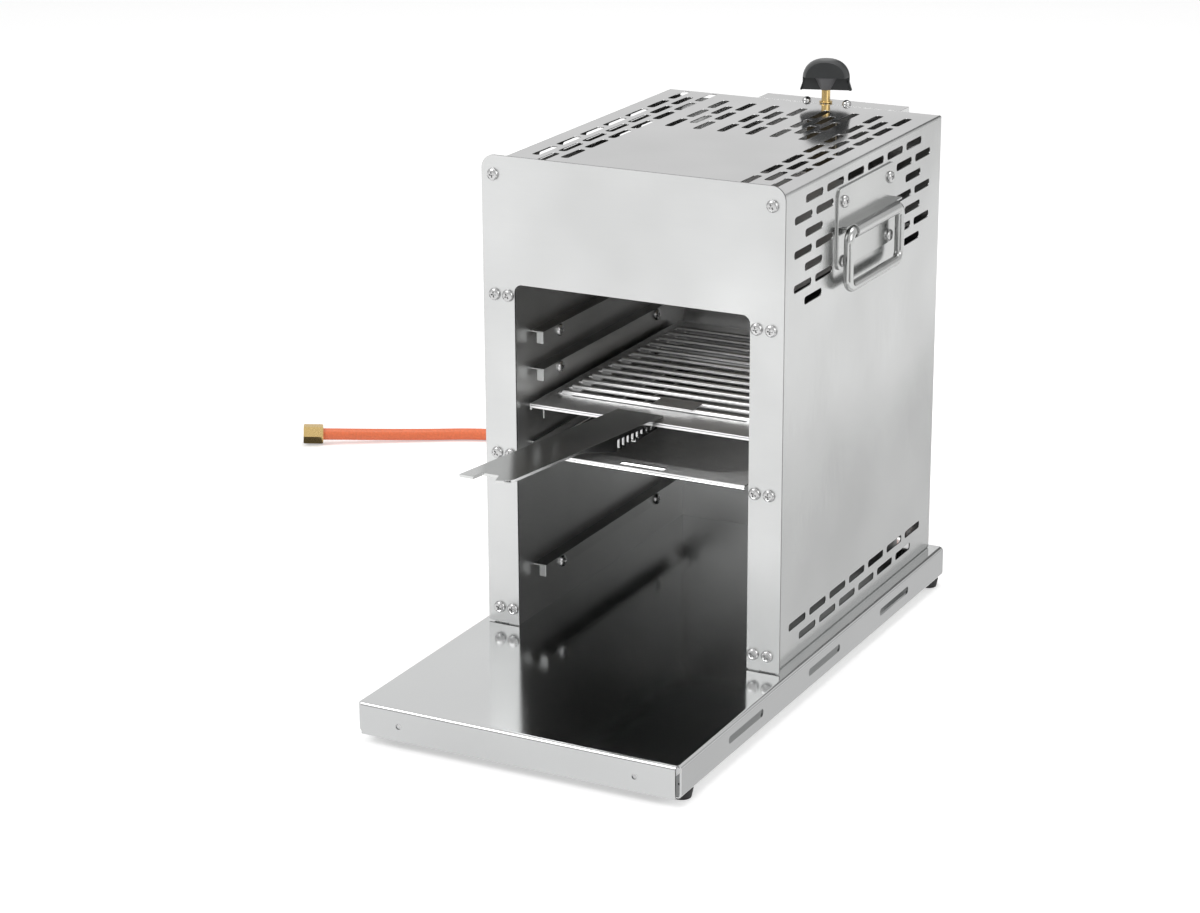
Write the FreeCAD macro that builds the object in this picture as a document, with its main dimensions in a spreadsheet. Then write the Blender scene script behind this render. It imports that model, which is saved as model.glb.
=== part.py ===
import FreeCAD, Part
import math
import os

import Sketcher

# A gas-fired top-heat steak grill, in millimetres.
# Pieces are drawn in the housing's own datum: X 0 on the middle plane, Y 0 on the front face of
# the fascia and rising backwards, Z 0 on the top of the base tray. Each node's Placement then
# moves that datum so that the grill stands on Z 0 with the middle of its length at Y 0.

Vector = FreeCAD.Vector

# Driving lengths, each set on its own.
LENGTHS = {
    # Sheet and fits
    "sheet": 1.0,
    "thick_sheet": 1.5,
    "bend": 3.0,
    "free_gap": 0.3,
    "running_gap": 0.06,
    "screw_play": 0.15,
    "overrun": 2.0,
    # Base tray and feet
    "tray_width": 248.5,
    "tray_front_reach": 173.7,
    "tray_rear_reach": 8.6,
    "tray_drop": 23.7,
    "tray_lip": 18.0,
    "tray_corner_gap": 0.25,
    "tray_hole_spacing": 182.0,
    "tray_hole_radius": 2.0,
    "tray_hole_drop": 13.0,
    "tray_slot_length": 56.0,
    "tray_slot_width": 5.5,
    "tray_slot_drop": 10.5,
    "foot_radius": 8.0,
    "foot_tip_radius": 6.6,
    "foot_height": 7.3,
    "foot_stem_radius": 2.5,
    "foot_front_inset": 22.0,
    "foot_rear_inset": 11.0,
    # Outer shell
    "shell_width": 227.6,
    "shell_depth": 290.0,
    "shell_height": 344.4,
    "shell_bend": 1.6,
    "shell_foot_flange": 12.0,
    "shell_rear_flange": 10.0,
    "vent_width": 5.5,
    "vent_corner": 1.6,
    "vent_row_drop": 10.2,
    "vent_row_pitch": 12.0,
    "low_vent_height": 26.5,
    "top_vent_column": 11.5,
    # Front fascia
    "fascia_side_reach": 3.2,
    "fascia_top_reach": 7.0,
    "fascia_foot_gap": 1.0,
    "fascia_corner": 10.0,
    "opening_corner": 6.0,
    "opening_reveal": 0.8,
    "opening_head_drop": 2.6,
    # Pan-head screws
    "screw_radius": 2.0,
    "screw_head_radius": 4.5,
    "screw_head_height": 2.4,
    "screw_shank": 5.0,
    "nut_hole": 5.0,
    # Cooking chamber
    "wall_gap": 21.2,
    "burner_room": 82.4,
    "chamber_rear_gap": 15.7,
    # Burner
    "shield_side_reach": 4.4,
    "burner_window_width": 120.0,
    "burner_window_depth": 188.0,
    "plaque_rest": 6.0,
    "plaque_thickness": 12.0,
    "plaque_groove": 2.0,
    "burner_skin": 1.2,
    "burner_headroom": 44.4,
    "mixer_radius": 11.0,
    "mixer_collar": 15.0,
    "mixer_entry": 10.0,
    "mixer_length": 31.0,
    "mixer_mouth_length": 4.0,
    "injector_hex_radius": 6.0,
    "injector_hex_length": 6.0,
    "injector_nose_radius": 3.5,
    "injector_nose_length": 6.0,
    "injector_stub_length": 6.0,
    "injector_jet_radius": 0.9,
    # Rails
    "rail_reach": 10.0,
    "rail_height": 9.0,
    "rail_lip": 8.4,
    "rail_front_inset": 25.0,
    "rail_rear_inset": 9.8,
    "rail_top_drop": 42.8,
    "rail_pitch": 27.95,
    "low_rail_height": 40.8,
    # Grate
    "grate_side_gap": 4.6,
    "grate_front_inset": 12.8,
    "grate_strip": 18.0,
    "grate_front_strip": 30.2,
    "grate_rear_strip": 22.0,
    "grate_lip_drop": 4.4,
    "rod_radius": 1.9,
    "rod_side_inset": 10.0,
    "rod_end_gap": 4.0,
    "weld_sink": 0.3,
    "tab_offset": 6.0,
    "tab_width": 33.0,
    "tab_foot_inset": 25.6,
    "tab_length": 19.0,
    # Lifter
    "lifter_offset": -4.0,
    "lifter_width": 36.5,
    "lifter_thickness": 2.0,
    "lifter_overlap": 11.2,
    "lifter_reach": 213.8,
    "lifter_rise": 19.0,
    "lifter_tip_corner": 10.0,
    "opener_width": 16.4,
    "opener_heel": 12.3,
    "opener_depth": 12.0,
    "opener_inset": 10.6,
    "tongue_overlap": 9.2,
    "tongue_gap": 1.0,
    "riser_gap": 24.8,
    "comb_rear_gap": 5.8,
    "comb_flat": 56.0,
    "comb_taper": 55.0,
    "comb_drop": 3.5,
    "comb_tooth": 3.0,
    # Drip pan
    "pan_side_gap": 3.6,
    "pan_rear_gap": 7.0,
    "pan_lip_drop": 4.0,
    "pan_wall_inset": 9.0,
    "pan_front_inset": 19.0,
    "pan_rear_inset": 10.0,
    "pan_corner": 27.0,
    "pan_depth": 12.0,
    "pan_slot_offset": 6.0,
    "pan_slot_width": 36.0,
    "pan_slot_inset": 4.5,
    "pan_slot_depth": 6.5,
    # Side handles
    "handle_plate_length": 103.1,
    "handle_plate_height": 59.0,
    "handle_plate_drop": 15.0,
    "handle_plate_corner": 6.0,
    "handle_screw_end_inset": 9.9,
    "handle_screw_top_inset": 10.4,
    "handle_screw_foot_inset": 5.6,
    "bail_radius": 3.6,
    "bail_span": 94.0,
    "bail_drop": 40.2,
    "bail_bend": 7.0,
    "bail_turn_in": 22.0,
    "bail_stand_off": 6.3,
    "knuckle_wall": 1.5,
    "knuckle_drop": 31.4,
    "knuckle_end_gap": 0.6,
    # Valve and knob
    "valve_offset": 17.0,
    "valve_set_back": 5.5,
    "valve_width": 22.0,
    "valve_depth": 20.0,
    "valve_foot": 11.0,
    "valve_flange_width": 48.0,
    "valve_flange_height": 4.4,
    "valve_socket_depth": 8.0,
    "valve_inlet_drop": 44.4,
    "bracket_left": 38.0,
    "bracket_right": 80.0,
    "bracket_depth": 19.2,
    "bracket_drop": 43.4,
    "cheek_drop": 26.0,
    "cheek_tip_drop": 13.0,
    "panel_side_gap": 1.8,
    "panel_foot_gap": 4.0,
    "panel_head_drop": 4.4,
    "spindle_radius": 3.3,
    "spindle_drop": 42.0,
    "spindle_collar_radius": 5.0,
    "knob_lift": 10.1,
    "knob_radius": 18.0,
    "knob_skirt_radius": 20.0,
    "knob_height": 23.5,
    "knob_skirt_height": 6.0,
    "knob_wall": 1.6,
    "knob_roof": 5.0,
    "knob_edge": 14.0,
    "knob_hub_radius": 7.0,
    "knob_socket": 16.0,
    "knob_visor_height": 10.5,
    # Hose
    "hose_radius": 6.0,
    "inlet_hex_radius": 8.6,
    "inlet_hex_length": 11.0,
    "inlet_sleeve_radius": 7.6,
    "inlet_sleeve_length": 22.0,
    "inlet_stub_radius": 4.0,
    "end_nut_radius": 9.2,
    "end_nut_length": 18.0,
}

# Numbers of like things.
COUNTS = {
    "vent_long_rows": 7,
    "vent_short_rows": 6,
    "side_rows": 7,
    "rail_levels": 4,
    "rod_count": 13,
    "groove_count": 11,
    "comb_teeth": 8,
}

# Parts of a size that follow it.
VENT_LENGTH_SHARE = 0.814
VENT_GROUP_SHARE = 0.1863
SHELL_FLANGE_SHARE = 0.56
WALL_FLANGE_SHARE = 0.36
OUTER_SCREW_SHARE = 0.29
INNER_SCREW_SHARE = 0.80
FASCIA_SCREW_SHARES = (0.0485, 0.5093, 0.9660)
TRAY_SLOT_SHARES = (0.2195, 0.5022, 0.7808)
BURNER_AXIS_SHARE = 0.6216
KNOB_INNER_SHARE = 0.85
HEX_FLAT_SHARE = math.sqrt(3) / 2

# The knob points its finger window this many degrees away from the front.
KNOB_TURN = 18

# The hose lies as the photo shows it: points of its middle line, chosen by hand.
HOSE_ROUTE = [
    (17.0, 340.5, 300.0),
    (17.0, 400.5, 300.0),
    (17.0, 460.0, 240.0),
    (17.0, 464.0, 130.0),
    (17.0, 460.0, 50.0),
    (-45.0, 460.0, -25.0),
    (-130.0, 455.0, -25.0),
    (-212.0, 466.0, -25.0),
    (-294.0, 470.0, -25.0),
    (-374.0, 458.0, -25.0),
    (-440.0, 420.0, -25.0),
    (-504.0, 379.0, -21.5),
]
ROUTE_ARC_SHARE = 0.45

SIDES = {"left": -1, "right": 1}


class Size:
    """A number kept together with the sheet expression that gives it."""

    def __init__(self, value, text):
        self.value = float(value)
        self.text = text

    def __add__(self, other):
        other = as_size(other)
        return Size(self.value + other.value, f"({self.text} + {other.text})")

    def __radd__(self, other):
        return as_size(other) + self

    def __sub__(self, other):
        other = as_size(other)
        return Size(self.value - other.value, f"({self.text} - {other.text})")

    def __rsub__(self, other):
        return as_size(other) - self

    def __mul__(self, other):
        other = as_size(other)
        return Size(self.value * other.value, f"({self.text} * {other.text})")

    def __rmul__(self, other):
        return as_size(other) * self

    def __truediv__(self, other):
        other = as_size(other)
        return Size(self.value / other.value, f"({self.text} / {other.text})")

    def __neg__(self):
        return Size(-self.value, f"(0 - {self.text})")


def as_size(number):
    """Give a plain number the same form as a size from the sheet."""
    if isinstance(number, Size):
        return number
    return Size(number, repr(number) if number >= 0 else f"(0 - {-number!r})")


class Named:
    """The sheet's sizes by name."""

    def __getattr__(self, name):
        table = LENGTHS if name in LENGTHS else COUNTS
        return Size(table[name], f"Sizes.{name}")


size = Named()
ZERO = as_size(0)

doc = FreeCAD.newDocument("SteakGrill")
sheet = doc.addObject("Spreadsheet::Sheet", "Sizes")
for row, (name, value) in enumerate({**LENGTHS, **COUNTS}.items(), start=1):
    sheet.set(f"A{row}", str(value))
    sheet.setAlias(f"A{row}", name)
doc.recompute()

# Places that several pieces share, worked out from the driving lengths.
shell_half = size.shell_width / 2
shell_front = size.thick_sheet
shell_rear = shell_front + size.shell_depth
panel_rear = shell_rear + size.sheet
chamber_half = shell_half - size.wall_gap
chamber_outer = chamber_half + size.sheet
chamber_rear = shell_rear - size.chamber_rear_gap - size.sheet
chamber_height = size.shell_height - size.burner_room
shield_top = chamber_height + size.sheet
burner_top = size.shell_height - size.burner_headroom
burner_axis = shield_top + (burner_top - shield_top) * BURNER_AXIS_SHARE
valve_foot = burner_axis - size.valve_foot
tray_half = size.tray_width / 2
tray_front = -size.tray_front_reach
tray_rear = shell_rear + size.tray_rear_reach
fascia_top = size.shell_height + size.fascia_top_reach
fascia_half = shell_half + size.fascia_side_reach
outer_screw_x = shell_half - size.wall_gap * OUTER_SCREW_SHARE
inner_screw_x = shell_half - size.wall_gap * INNER_SCREW_SHARE
rail_rear = chamber_rear - size.rail_rear_inset
rail_inner = chamber_half - size.rail_reach
grate_rail_top = chamber_height - size.rail_top_drop - size.rail_pitch * 2
pan_rail_top = grate_rail_top - size.rail_pitch
grate_half = chamber_half - size.grate_side_gap
grate_front = size.grate_front_inset
grate_top = grate_rail_top + size.free_gap + size.grate_lip_drop
valve_y = shell_rear + size.valve_set_back
bracket_front = shell_rear + size.free_gap
bracket_rear = bracket_front + size.bracket_depth
bracket_top = size.shell_height
bracket_under = bracket_top - size.sheet
handle_top = size.shell_height - size.handle_plate_drop
handle_foot = handle_top - size.handle_plate_height
handle_middle = shell_front + size.shell_depth / 2
handle_face = shell_half + size.thick_sheet
bail_axis_x = handle_face + size.bail_stand_off
bail_axis_z = handle_top - size.knuckle_drop
lifter_tip = grate_front - size.lifter_reach
ground = size.tray_drop + size.foot_height
middle_shift = -(lifter_tip + bracket_rear) / 2
vent_pitch = size.shell_depth / (size.vent_long_rows + 1)
vent_length = vent_pitch * VENT_LENGTH_SHARE

nodes = []
cuts = []


def bind(obj, path, value):
    """Tie a property to the sheet."""
    obj.setExpression(path, as_size(value).text)


def place(obj, x=ZERO, y=ZERO, z=ZERO):
    """Move a piece from the housing's datum into the grill's frame, plus a place of its own."""
    bind(obj, "Placement.Base.x", x)
    bind(obj, "Placement.Base.y", y + middle_shift)
    bind(obj, "Placement.Base.z", z + ground)


def new_body(label, x=ZERO, y=ZERO, z=ZERO):
    """Start a body whose label names its node."""
    body = doc.addObject("PartDesign::Body", label)
    body.Label = label
    place(body, x, y, z)
    nodes.append(body)
    return body


def new_shape(label, shape):
    """Add a node made of one or more finished solids."""
    feature = doc.addObject("Part::Feature", label)
    feature.Label = label
    feature.Shape = shape
    feature.Placement = FreeCAD.Placement(Vector(0, 0, 0), FreeCAD.Rotation())
    place(feature)
    nodes.append(feature)
    return feature


class Drawing:
    """A sketch on one of a body's origin planes, each of its points bound to the sheet.

    plane is "XY", "XZ" or "YZ", and at is the plane's place along its third axis.
    """

    count = 0

    def __init__(self, body, plane, at=ZERO):
        Drawing.count += 1
        self.body = body
        self.plane = plane
        self.sketch = body.newObject("Sketcher::SketchObject", f"Sketch{Drawing.count}")
        support = next(o for o in body.Origin.OriginFeatures if o.Role == plane + "_Plane")
        self.sketch.AttachmentSupport = [(support, "")]
        self.sketch.MapMode = "FlatFace"
        offset = -as_size(at) if plane == "XZ" else as_size(at)
        bind(self.sketch, "AttachmentOffset.Base.z", offset)

    def fix(self, kind, geometry, point, value):
        """Hold one coordinate of a point, or a radius, at a size."""
        value = as_size(value)
        if kind == "Radius":
            constraint = Sketcher.Constraint(kind, geometry, value.value)
        else:
            constraint = Sketcher.Constraint(kind, -1, 1, geometry, point, value.value)
        row = self.sketch.addConstraint(constraint)
        bind(self.sketch, f"Constraints[{row}]", value)

    def run(self, steps):
        """Draw a closed run of lines and arcs.

        Each step is (start, centre, turn, held): centre is None for a line, turn is 1 for an arc
        that goes anticlockwise, and held is the coordinate of the centre that fixes the arc.
        """
        ends = []
        for index, (start, centre, turn, held) in enumerate(steps):
            stop = steps[(index + 1) % len(steps)][0]
            first = Vector(start[0].value, start[1].value, 0)
            last = Vector(stop[0].value, stop[1].value, 0)
            if centre is None:
                geometry = self.sketch.addGeometry(Part.LineSegment(first, last), False)
                ends.append((geometry, 1, 2))
                continue
            middle = Vector(centre[0].value, centre[1].value, 0)
            low, high = (first, last) if turn > 0 else (last, first)
            circle = Part.Circle(middle, Vector(0, 0, 1), (first - middle).Length)
            low_angle = math.atan2(low.y - middle.y, low.x - middle.x)
            high_angle = math.atan2(high.y - middle.y, high.x - middle.x)
            if high_angle <= low_angle:
                high_angle += 2 * math.pi
            arc = Part.ArcOfCircle(circle, low_angle, high_angle)
            geometry = self.sketch.addGeometry(arc, False)
            ends.append((geometry, 1, 2) if turn > 0 else (geometry, 2, 1))
        for index, (geometry, first, _) in enumerate(ends):
            before = ends[index - 1]
            self.sketch.addConstraint(
                Sketcher.Constraint("Coincident", before[0], before[2], geometry, first)
            )
        for (geometry, first, _), (start, centre, _, held) in zip(ends, steps):
            self.fix("DistanceX", geometry, first, start[0])
            self.fix("DistanceY", geometry, first, start[1])
            if centre is not None:
                kind = "DistanceX" if held == 0 else "DistanceY"
                self.fix(kind, geometry, 3, centre[held])
        return self

    def outline(self, *points):
        """Draw a closed outline; a third value rounds a square corner by that radius."""
        points = [tuple(as_size(value) for value in point) for point in points]
        steps = []
        for index, point in enumerate(points):
            if len(point) == 2:
                steps.append((point, None, 0, 0))
                continue
            x, y, radius = point
            before = points[index - 1]
            after = points[(index + 1) % len(points)]
            into = direction(before, point)
            out = direction(point, after)
            start = (shifted(x, radius, -into[0]), shifted(y, radius, -into[1]))
            stop = (shifted(x, radius, out[0]), shifted(y, radius, out[1]))
            centre = (
                shifted(x, radius, out[0] - into[0]),
                shifted(y, radius, out[1] - into[1]),
            )
            turn = into[0] * out[1] - into[1] * out[0]
            steps.append((start, centre, turn, 0))
            steps.append((stop, None, 0, 0))
        return self.run(steps)

    def box(self, x0, x1, y0, y1):
        """Draw a rectangle."""
        return self.outline((x0, y0), (x1, y0), (x1, y1), (x0, y1))

    def circle(self, x, y, radius):
        """Draw a circle."""
        x, y, radius = as_size(x), as_size(y), as_size(radius)
        middle = Vector(x.value, y.value, 0)
        circle = Part.Circle(middle, Vector(0, 0, 1), radius.value)
        geometry = self.sketch.addGeometry(circle, False)
        self.fix("DistanceX", geometry, 3, x)
        self.fix("DistanceY", geometry, 3, y)
        self.fix("Radius", geometry, 0, radius)
        return self

    def slot(self, x, y, length, width, upright=False):
        """Draw a long vent with its corners cut off."""
        x, y = as_size(x), as_size(y)
        along, across = length / 2, width / 2
        corner = size.vent_corner
        if upright:
            along, across = across, along
        return self.outline(
            (x - along, y - across + corner),
            (x - along + corner, y - across),
            (x + along - corner, y - across),
            (x + along, y - across + corner),
            (x + along, y + across - corner),
            (x + along - corner, y + across),
            (x - along + corner, y + across),
            (x - along, y + across - corner),
        )

    def hexagon(self, x, y, radius):
        """Draw a hexagon with two corners level with its middle."""
        x, y = as_size(x), as_size(y)
        half = radius / 2
        flat = radius * HEX_FLAT_SHARE
        return self.outline(
            (x + radius, y),
            (x + half, y + flat),
            (x - half, y + flat),
            (x - radius, y),
            (x - half, y - flat),
            (x + half, y - flat),
        )

    def pad(self, length, toward=1, both=False):
        """Extrude the sketch along its plane's axis, up that axis or down it."""
        feature = self.body.newObject("PartDesign::Pad", self.sketch.Name + "Pad")
        feature.Profile = self.sketch
        bind(feature, "Length", length)
        if both:
            feature.SideType = "Symmetric"
        feature.Reversed = (toward < 0) != (self.plane == "XZ")
        self.sketch.Visibility = False
        return feature

    def cut(self, depth, toward=1, both=False):
        """Cut the sketch away along its plane's axis, up that axis or down it."""
        base = self.body.Tip
        feature = self.body.newObject("PartDesign::Pocket", self.sketch.Name + "Cut")
        feature.Profile = self.sketch
        bind(feature, "Length", depth)
        if both:
            feature.SideType = "Symmetric"
        feature.Reversed = (toward > 0) != (self.plane == "XZ")
        cuts.append((feature, base))
        return feature

    def repeat(self, feature, across=None, up=None):
        """Repeat a feature along the sketch's two axes; each way is (spacing, count)."""
        pattern = self.body.newObject("PartDesign::LinearPattern", self.sketch.Name + "Grid")
        pattern.Originals = [feature]
        ways = [(axis, way) for axis, way in (("H_Axis", across), ("V_Axis", up)) if way]
        for suffix, (axis, (spacing, number)) in zip(("", "2"), ways):
            setattr(pattern, "Direction" + suffix, (self.sketch, [axis]))
            setattr(pattern, "Mode" + suffix, "Spacing")
            bind(pattern, "Offset" + suffix, spacing)
            bind(pattern, "Occurrences" + suffix, number)
        self.body.Tip = pattern
        return pattern


def direction(start, stop):
    """Say which way a square outline goes from one point to the next."""
    run = stop[0].value - start[0].value
    rise = stop[1].value - start[1].value
    if abs(run) > abs(rise):
        return (int(math.copysign(1, run)), 0)
    return (0, int(math.copysign(1, rise)))


def shifted(value, radius, way):
    """Move a coordinate by a radius, or not at all."""
    if way == 0:
        return value
    return value + radius if way > 0 else value - radius


def plate(label, x0, x1, y0, y1, z0, z1):
    """Make a plain rectangular plate as a node of its own."""
    box = doc.addObject("Part::Box", label)
    box.Label = label
    bind(box, "Length", x1 - x0)
    bind(box, "Width", y1 - y0)
    bind(box, "Height", z1 - z0)
    place(box, x0, y0, z0)
    nodes.append(box)
    return box


def channel(drawing, half, top, foot, lip, skin, bend):
    """Draw a bent channel, open below, with its lower edges turned inward."""
    outer, inner = bend, bend - skin
    return drawing.outline(
        (lip - half, foot),
        (-half, foot, outer),
        (-half, top, outer),
        (half, top, outer),
        (half, foot, outer),
        (half - lip, foot),
        (half - lip, foot + skin),
        (half - skin, foot + skin, inner),
        (half - skin, top - skin, inner),
        (skin - half, top - skin, inner),
        (skin - half, foot + skin, inner),
        (lip - half, foot + skin),
    )


def screw(place_at, way):
    """Make one pan-head screw; way points from its head into the work."""
    seat = Vector(*(as_size(value).value for value in place_at))
    way = Vector(*way)
    head = Part.makeCylinder(
        size.screw_head_radius.value, size.screw_head_height.value, seat, way * -1
    )
    shank = Part.makeCylinder(size.screw_radius.value, size.screw_shank.value, seat, way)
    return head.fuse(shank).removeSplitter().Solids[0]


# Base tray: a long channel with bent front and rear flanges and open corners.
def make_base_tray():
    body = new_body("base_tray")
    skin = size.thick_sheet
    gap = size.bend + size.tray_corner_gap
    sides = Drawing(body, "XZ", tray_front + gap)
    channel(sides, tray_half, ZERO, -size.tray_drop, size.tray_lip, skin, size.bend)
    sides.pad(tray_rear - tray_front - gap * 2)
    inner = size.bend - skin
    ends = Drawing(body, "YZ")
    ends.outline(
        (tray_front, -size.tray_drop),
        (tray_front, ZERO, size.bend),
        (tray_rear, ZERO, size.bend),
        (tray_rear, -size.tray_drop),
        (tray_rear - skin, -size.tray_drop),
        (tray_rear - skin, -skin, inner),
        (tray_front + skin, -skin, inner),
        (tray_front + skin, -size.tray_drop),
    )
    ends.pad((tray_half - gap) * 2, both=True)
    holes = Drawing(body, "XZ", tray_front)
    for side in SIDES.values():
        x = size.tray_hole_spacing / 2 * side
        holes.circle(x, -size.tray_hole_drop, size.tray_hole_radius)
    holes.cut(skin + inner)
    slots = Drawing(body, "YZ")
    for share in TRAY_SLOT_SHARES:
        y = tray_front + (tray_rear - tray_front) * share
        slots.slot(y, -size.tray_slot_drop, size.tray_slot_length, size.tray_slot_width)
    slots.cut(size.tray_width + size.overrun, both=True)
    seats = Drawing(body, "XY", skin - size.tray_drop)
    for x, y in foot_places():
        seats.circle(x, y, size.foot_stem_radius + size.screw_play)
    seats.cut(skin + size.overrun, toward=-1)


def foot_places():
    """Give the middles of the four feet, in the middle of the side flanges' lips."""
    places = []
    for side in SIDES.values():
        for y in (tray_front + size.foot_front_inset, tray_rear - size.foot_rear_inset):
            places.append(((tray_half - size.tray_lip / 2) * side, y))
    return places


def make_feet():
    """Push-in rubber feet: a tapered pad with a stem through the lip."""
    top = -size.tray_drop.value
    solids = []
    for x, y in foot_places():
        profile = [
            (0, top - size.foot_height.value),
            (size.foot_tip_radius.value, top - size.foot_height.value),
            (size.foot_radius.value, top),
            (size.foot_stem_radius.value, top),
            (size.foot_stem_radius.value, top + size.thick_sheet.value),
            (0, top + size.thick_sheet.value),
        ]
        points = [Vector(radius, 0, z) for radius, z in profile]
        face = Part.Face(Part.makePolygon(points + points[:1]))
        foot = face.revolve(Vector(0, 0, 0), Vector(0, 0, 1), 360)
        foot.translate(Vector(x.value, y.value, 0))
        solids.append(foot)
    new_shape("rubber_feet", Part.makeCompound(solids))


# Outer shell: walls and roof in one sheet, pierced with rows of vents.
def make_outer_shell():
    body = doc.addObject("PartDesign::Body", "shell_blank")
    skin = size.sheet
    wrap = Drawing(body, "XZ", shell_front)
    bend = size.shell_bend
    channel(wrap, shell_half, size.shell_height, ZERO, size.shell_foot_flange, skin, bend)
    wrap.pad(size.shell_depth)
    flange = size.wall_gap * SHELL_FLANGE_SHARE
    for at, reach in ((shell_front, flange), (shell_rear - skin, size.shell_rear_flange)):
        strips = Drawing(body, "XZ", at)
        for side in SIDES.values():
            edge = (shell_half - skin / 2) * side
            inner = (shell_half - reach) * side
            low, high = (inner, edge) if side > 0 else (edge, inner)
            strips.box(low, high, bend, size.shell_height - bend)
        strips.pad(skin)
    nuts = Drawing(body, "YZ")
    for y, z in handle_screw_places():
        square_hole(nuts, y, z)
    nuts.cut(size.shell_width + size.overrun, both=True)
    nuts = Drawing(body, "XZ", shell_front)
    for x, z in outer_fascia_screws():
        square_hole(nuts, x, z)
    nuts.cut(skin)
    punches = doc.addObject("Part::Feature", "vent_punches")
    punches.Shape = Part.makeCompound(side_punches() + roof_punches())
    shell = doc.addObject("Part::Cut", "outer_shell")
    shell.Label = "outer_shell"
    shell.Base = body
    shell.Tool = punches
    place(shell)
    nodes.append(shell)


def square_hole(drawing, x, y):
    """Draw the square hole that a spring nut clips into."""
    half = size.nut_hole / 2
    drawing.box(x - half, x + half, y - half, y + half)


def vent_y(steps):
    """Give the middle of a vent, counted in whole and half pitches from the shell's front."""
    return shell_front + vent_pitch * steps


def punch(length, width, depth):
    """Make the punch of one vent: a long bar along X with its corners cut off, rising along Z."""
    along, across, corner = length.value / 2, width.value / 2, size.vent_corner.value
    corners = [
        (-along, corner - across),
        (corner - along, -across),
        (along - corner, -across),
        (along, corner - across),
        (along, across - corner),
        (along - corner, across),
        (corner - along, across),
        (-along, across - corner),
    ]
    points = [Vector(x, y, 0) for x, y in corners]
    return Part.Face(Part.makePolygon(points + points[:1])).extrude(Vector(0, 0, depth.value))


def side_punches():
    """Give the punches of the side walls' vents; each one goes through both walls."""
    top = size.shell_height - size.vent_row_drop
    row = size.vent_row_pitch
    low = size.low_vent_height
    every_long = [1 + number for number in range(COUNTS["vent_long_rows"])]
    every_short = [1.5 + number for number in range(COUNTS["vent_short_rows"])]
    rows = [(top, every_short), (low, every_long), (low - row, every_short)]
    for number in range(1, COUNTS["side_rows"]):
        ends = every_short[:1] + every_short[-1:]
        if number % 2:
            ends = every_long[:2] + every_long[-2:]
        rows.append((top - row * number, ends))
    upright = FreeCAD.Rotation(Vector(0, 1, 0), Vector(0, 0, 1), Vector(1, 0, 0), "ZXY")
    width = size.shell_width + size.overrun * 2
    bars = []
    for z, steps in rows:
        for step in steps:
            bar = punch(vent_length, size.vent_width, width)
            place_at = Vector(-width.value / 2, vent_y(step).value, z.value)
            bar.Placement = FreeCAD.Placement(place_at, upright)
            bars.append(bar)
    return bars


def roof_punches():
    """Give the punches of the roof's vents: full rows at both sides, short ones in the middle."""
    group = size.shell_width * VENT_GROUP_SHARE
    column = size.top_vent_column
    every_long = [1 + number for number in range(COUNTS["vent_long_rows"])]
    every_short = [1.5 + number for number in range(COUNTS["vent_short_rows"])]
    columns = [
        (-group * 2, every_long),
        (-group * 2 - column, every_short + [every_short[-1] + 1]),
        (-group * 2 + column, every_short + [every_short[-1] + 1]),
        (group * 2 - column, every_long),
        (group * 2 + column, every_long),
        (group * 2, every_short),
    ]
    for number in (-1, 0, 1):
        middle = group * number
        columns.append((middle - column, every_long[-3:]))
        columns.append((middle + column, every_long[-3:]))
        columns.append((middle, every_short[-2:]))
    turned = FreeCAD.Rotation(Vector(0, 0, 1), 90)
    bars = []
    for x, steps in columns:
        for step in steps:
            bar = punch(vent_length, size.vent_width, size.sheet + size.overrun * 2)
            foot = size.shell_height - size.sheet - size.overrun
            bar.Placement = FreeCAD.Placement(Vector(x.value, vent_y(step).value, foot.value), turned)
            bars.append(bar)
    return bars


# Front fascia with its screws.
def outer_fascia_screws():
    """Give the eight screws that go into the shell's front flanges."""
    heights = [opening_top() * share for share in FASCIA_SCREW_SHARES]
    heights.append(size.shell_height - size.bend * 2 - size.screw_radius)
    return [(outer_screw_x * side, z) for side in SIDES.values() for z in heights]


def inner_fascia_screws():
    """Give the six screws that go into the chamber walls' front flanges."""
    heights = [opening_top() * share for share in FASCIA_SCREW_SHARES]
    return [(inner_screw_x * side, z) for side in SIDES.values() for z in heights]


def opening_top():
    """Give the height of the fascia's opening."""
    return chamber_height - size.opening_head_drop


def make_front_fascia():
    body = new_body("front_fascia")
    foot = size.fascia_foot_gap
    half = chamber_half - size.opening_reveal
    top = opening_top()
    face = Drawing(body, "XZ")
    face.outline(
        (-fascia_half, foot),
        (-fascia_half, fascia_top, size.fascia_corner),
        (fascia_half, fascia_top, size.fascia_corner),
        (fascia_half, foot),
        (half, foot),
        (half, top, size.opening_corner),
        (-half, top, size.opening_corner),
        (-half, foot),
    )
    for x, z in outer_fascia_screws() + inner_fascia_screws():
        square_hole(face, x, z)
    face.pad(size.thick_sheet)
    places = [(x, ZERO, z) for x, z in outer_fascia_screws() + inner_fascia_screws()]
    solids = [screw(place_at, (0, 1, 0)) for place_at in places]
    new_shape("fascia_screws", Part.makeCompound(solids))


# Rear panel with the notch for the valve.
def make_rear_panel():
    body = new_body("rear_panel")
    half = shell_half - size.panel_side_gap
    top = size.shell_height - size.panel_head_drop
    notch_half = size.valve_width / 2 + size.free_gap * 2
    notch_foot = valve_foot - size.free_gap * 2
    left = size.valve_offset - notch_half
    right = size.valve_offset + notch_half
    sheet_face = Drawing(body, "XZ", shell_rear)
    sheet_face.outline(
        (-half, size.panel_foot_gap),
        (half, size.panel_foot_gap),
        (half, top),
        (right, top),
        (right, notch_foot),
        (left, notch_foot),
        (left, top),
        (-half, top),
    )
    sheet_face.pad(size.sheet)


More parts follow.
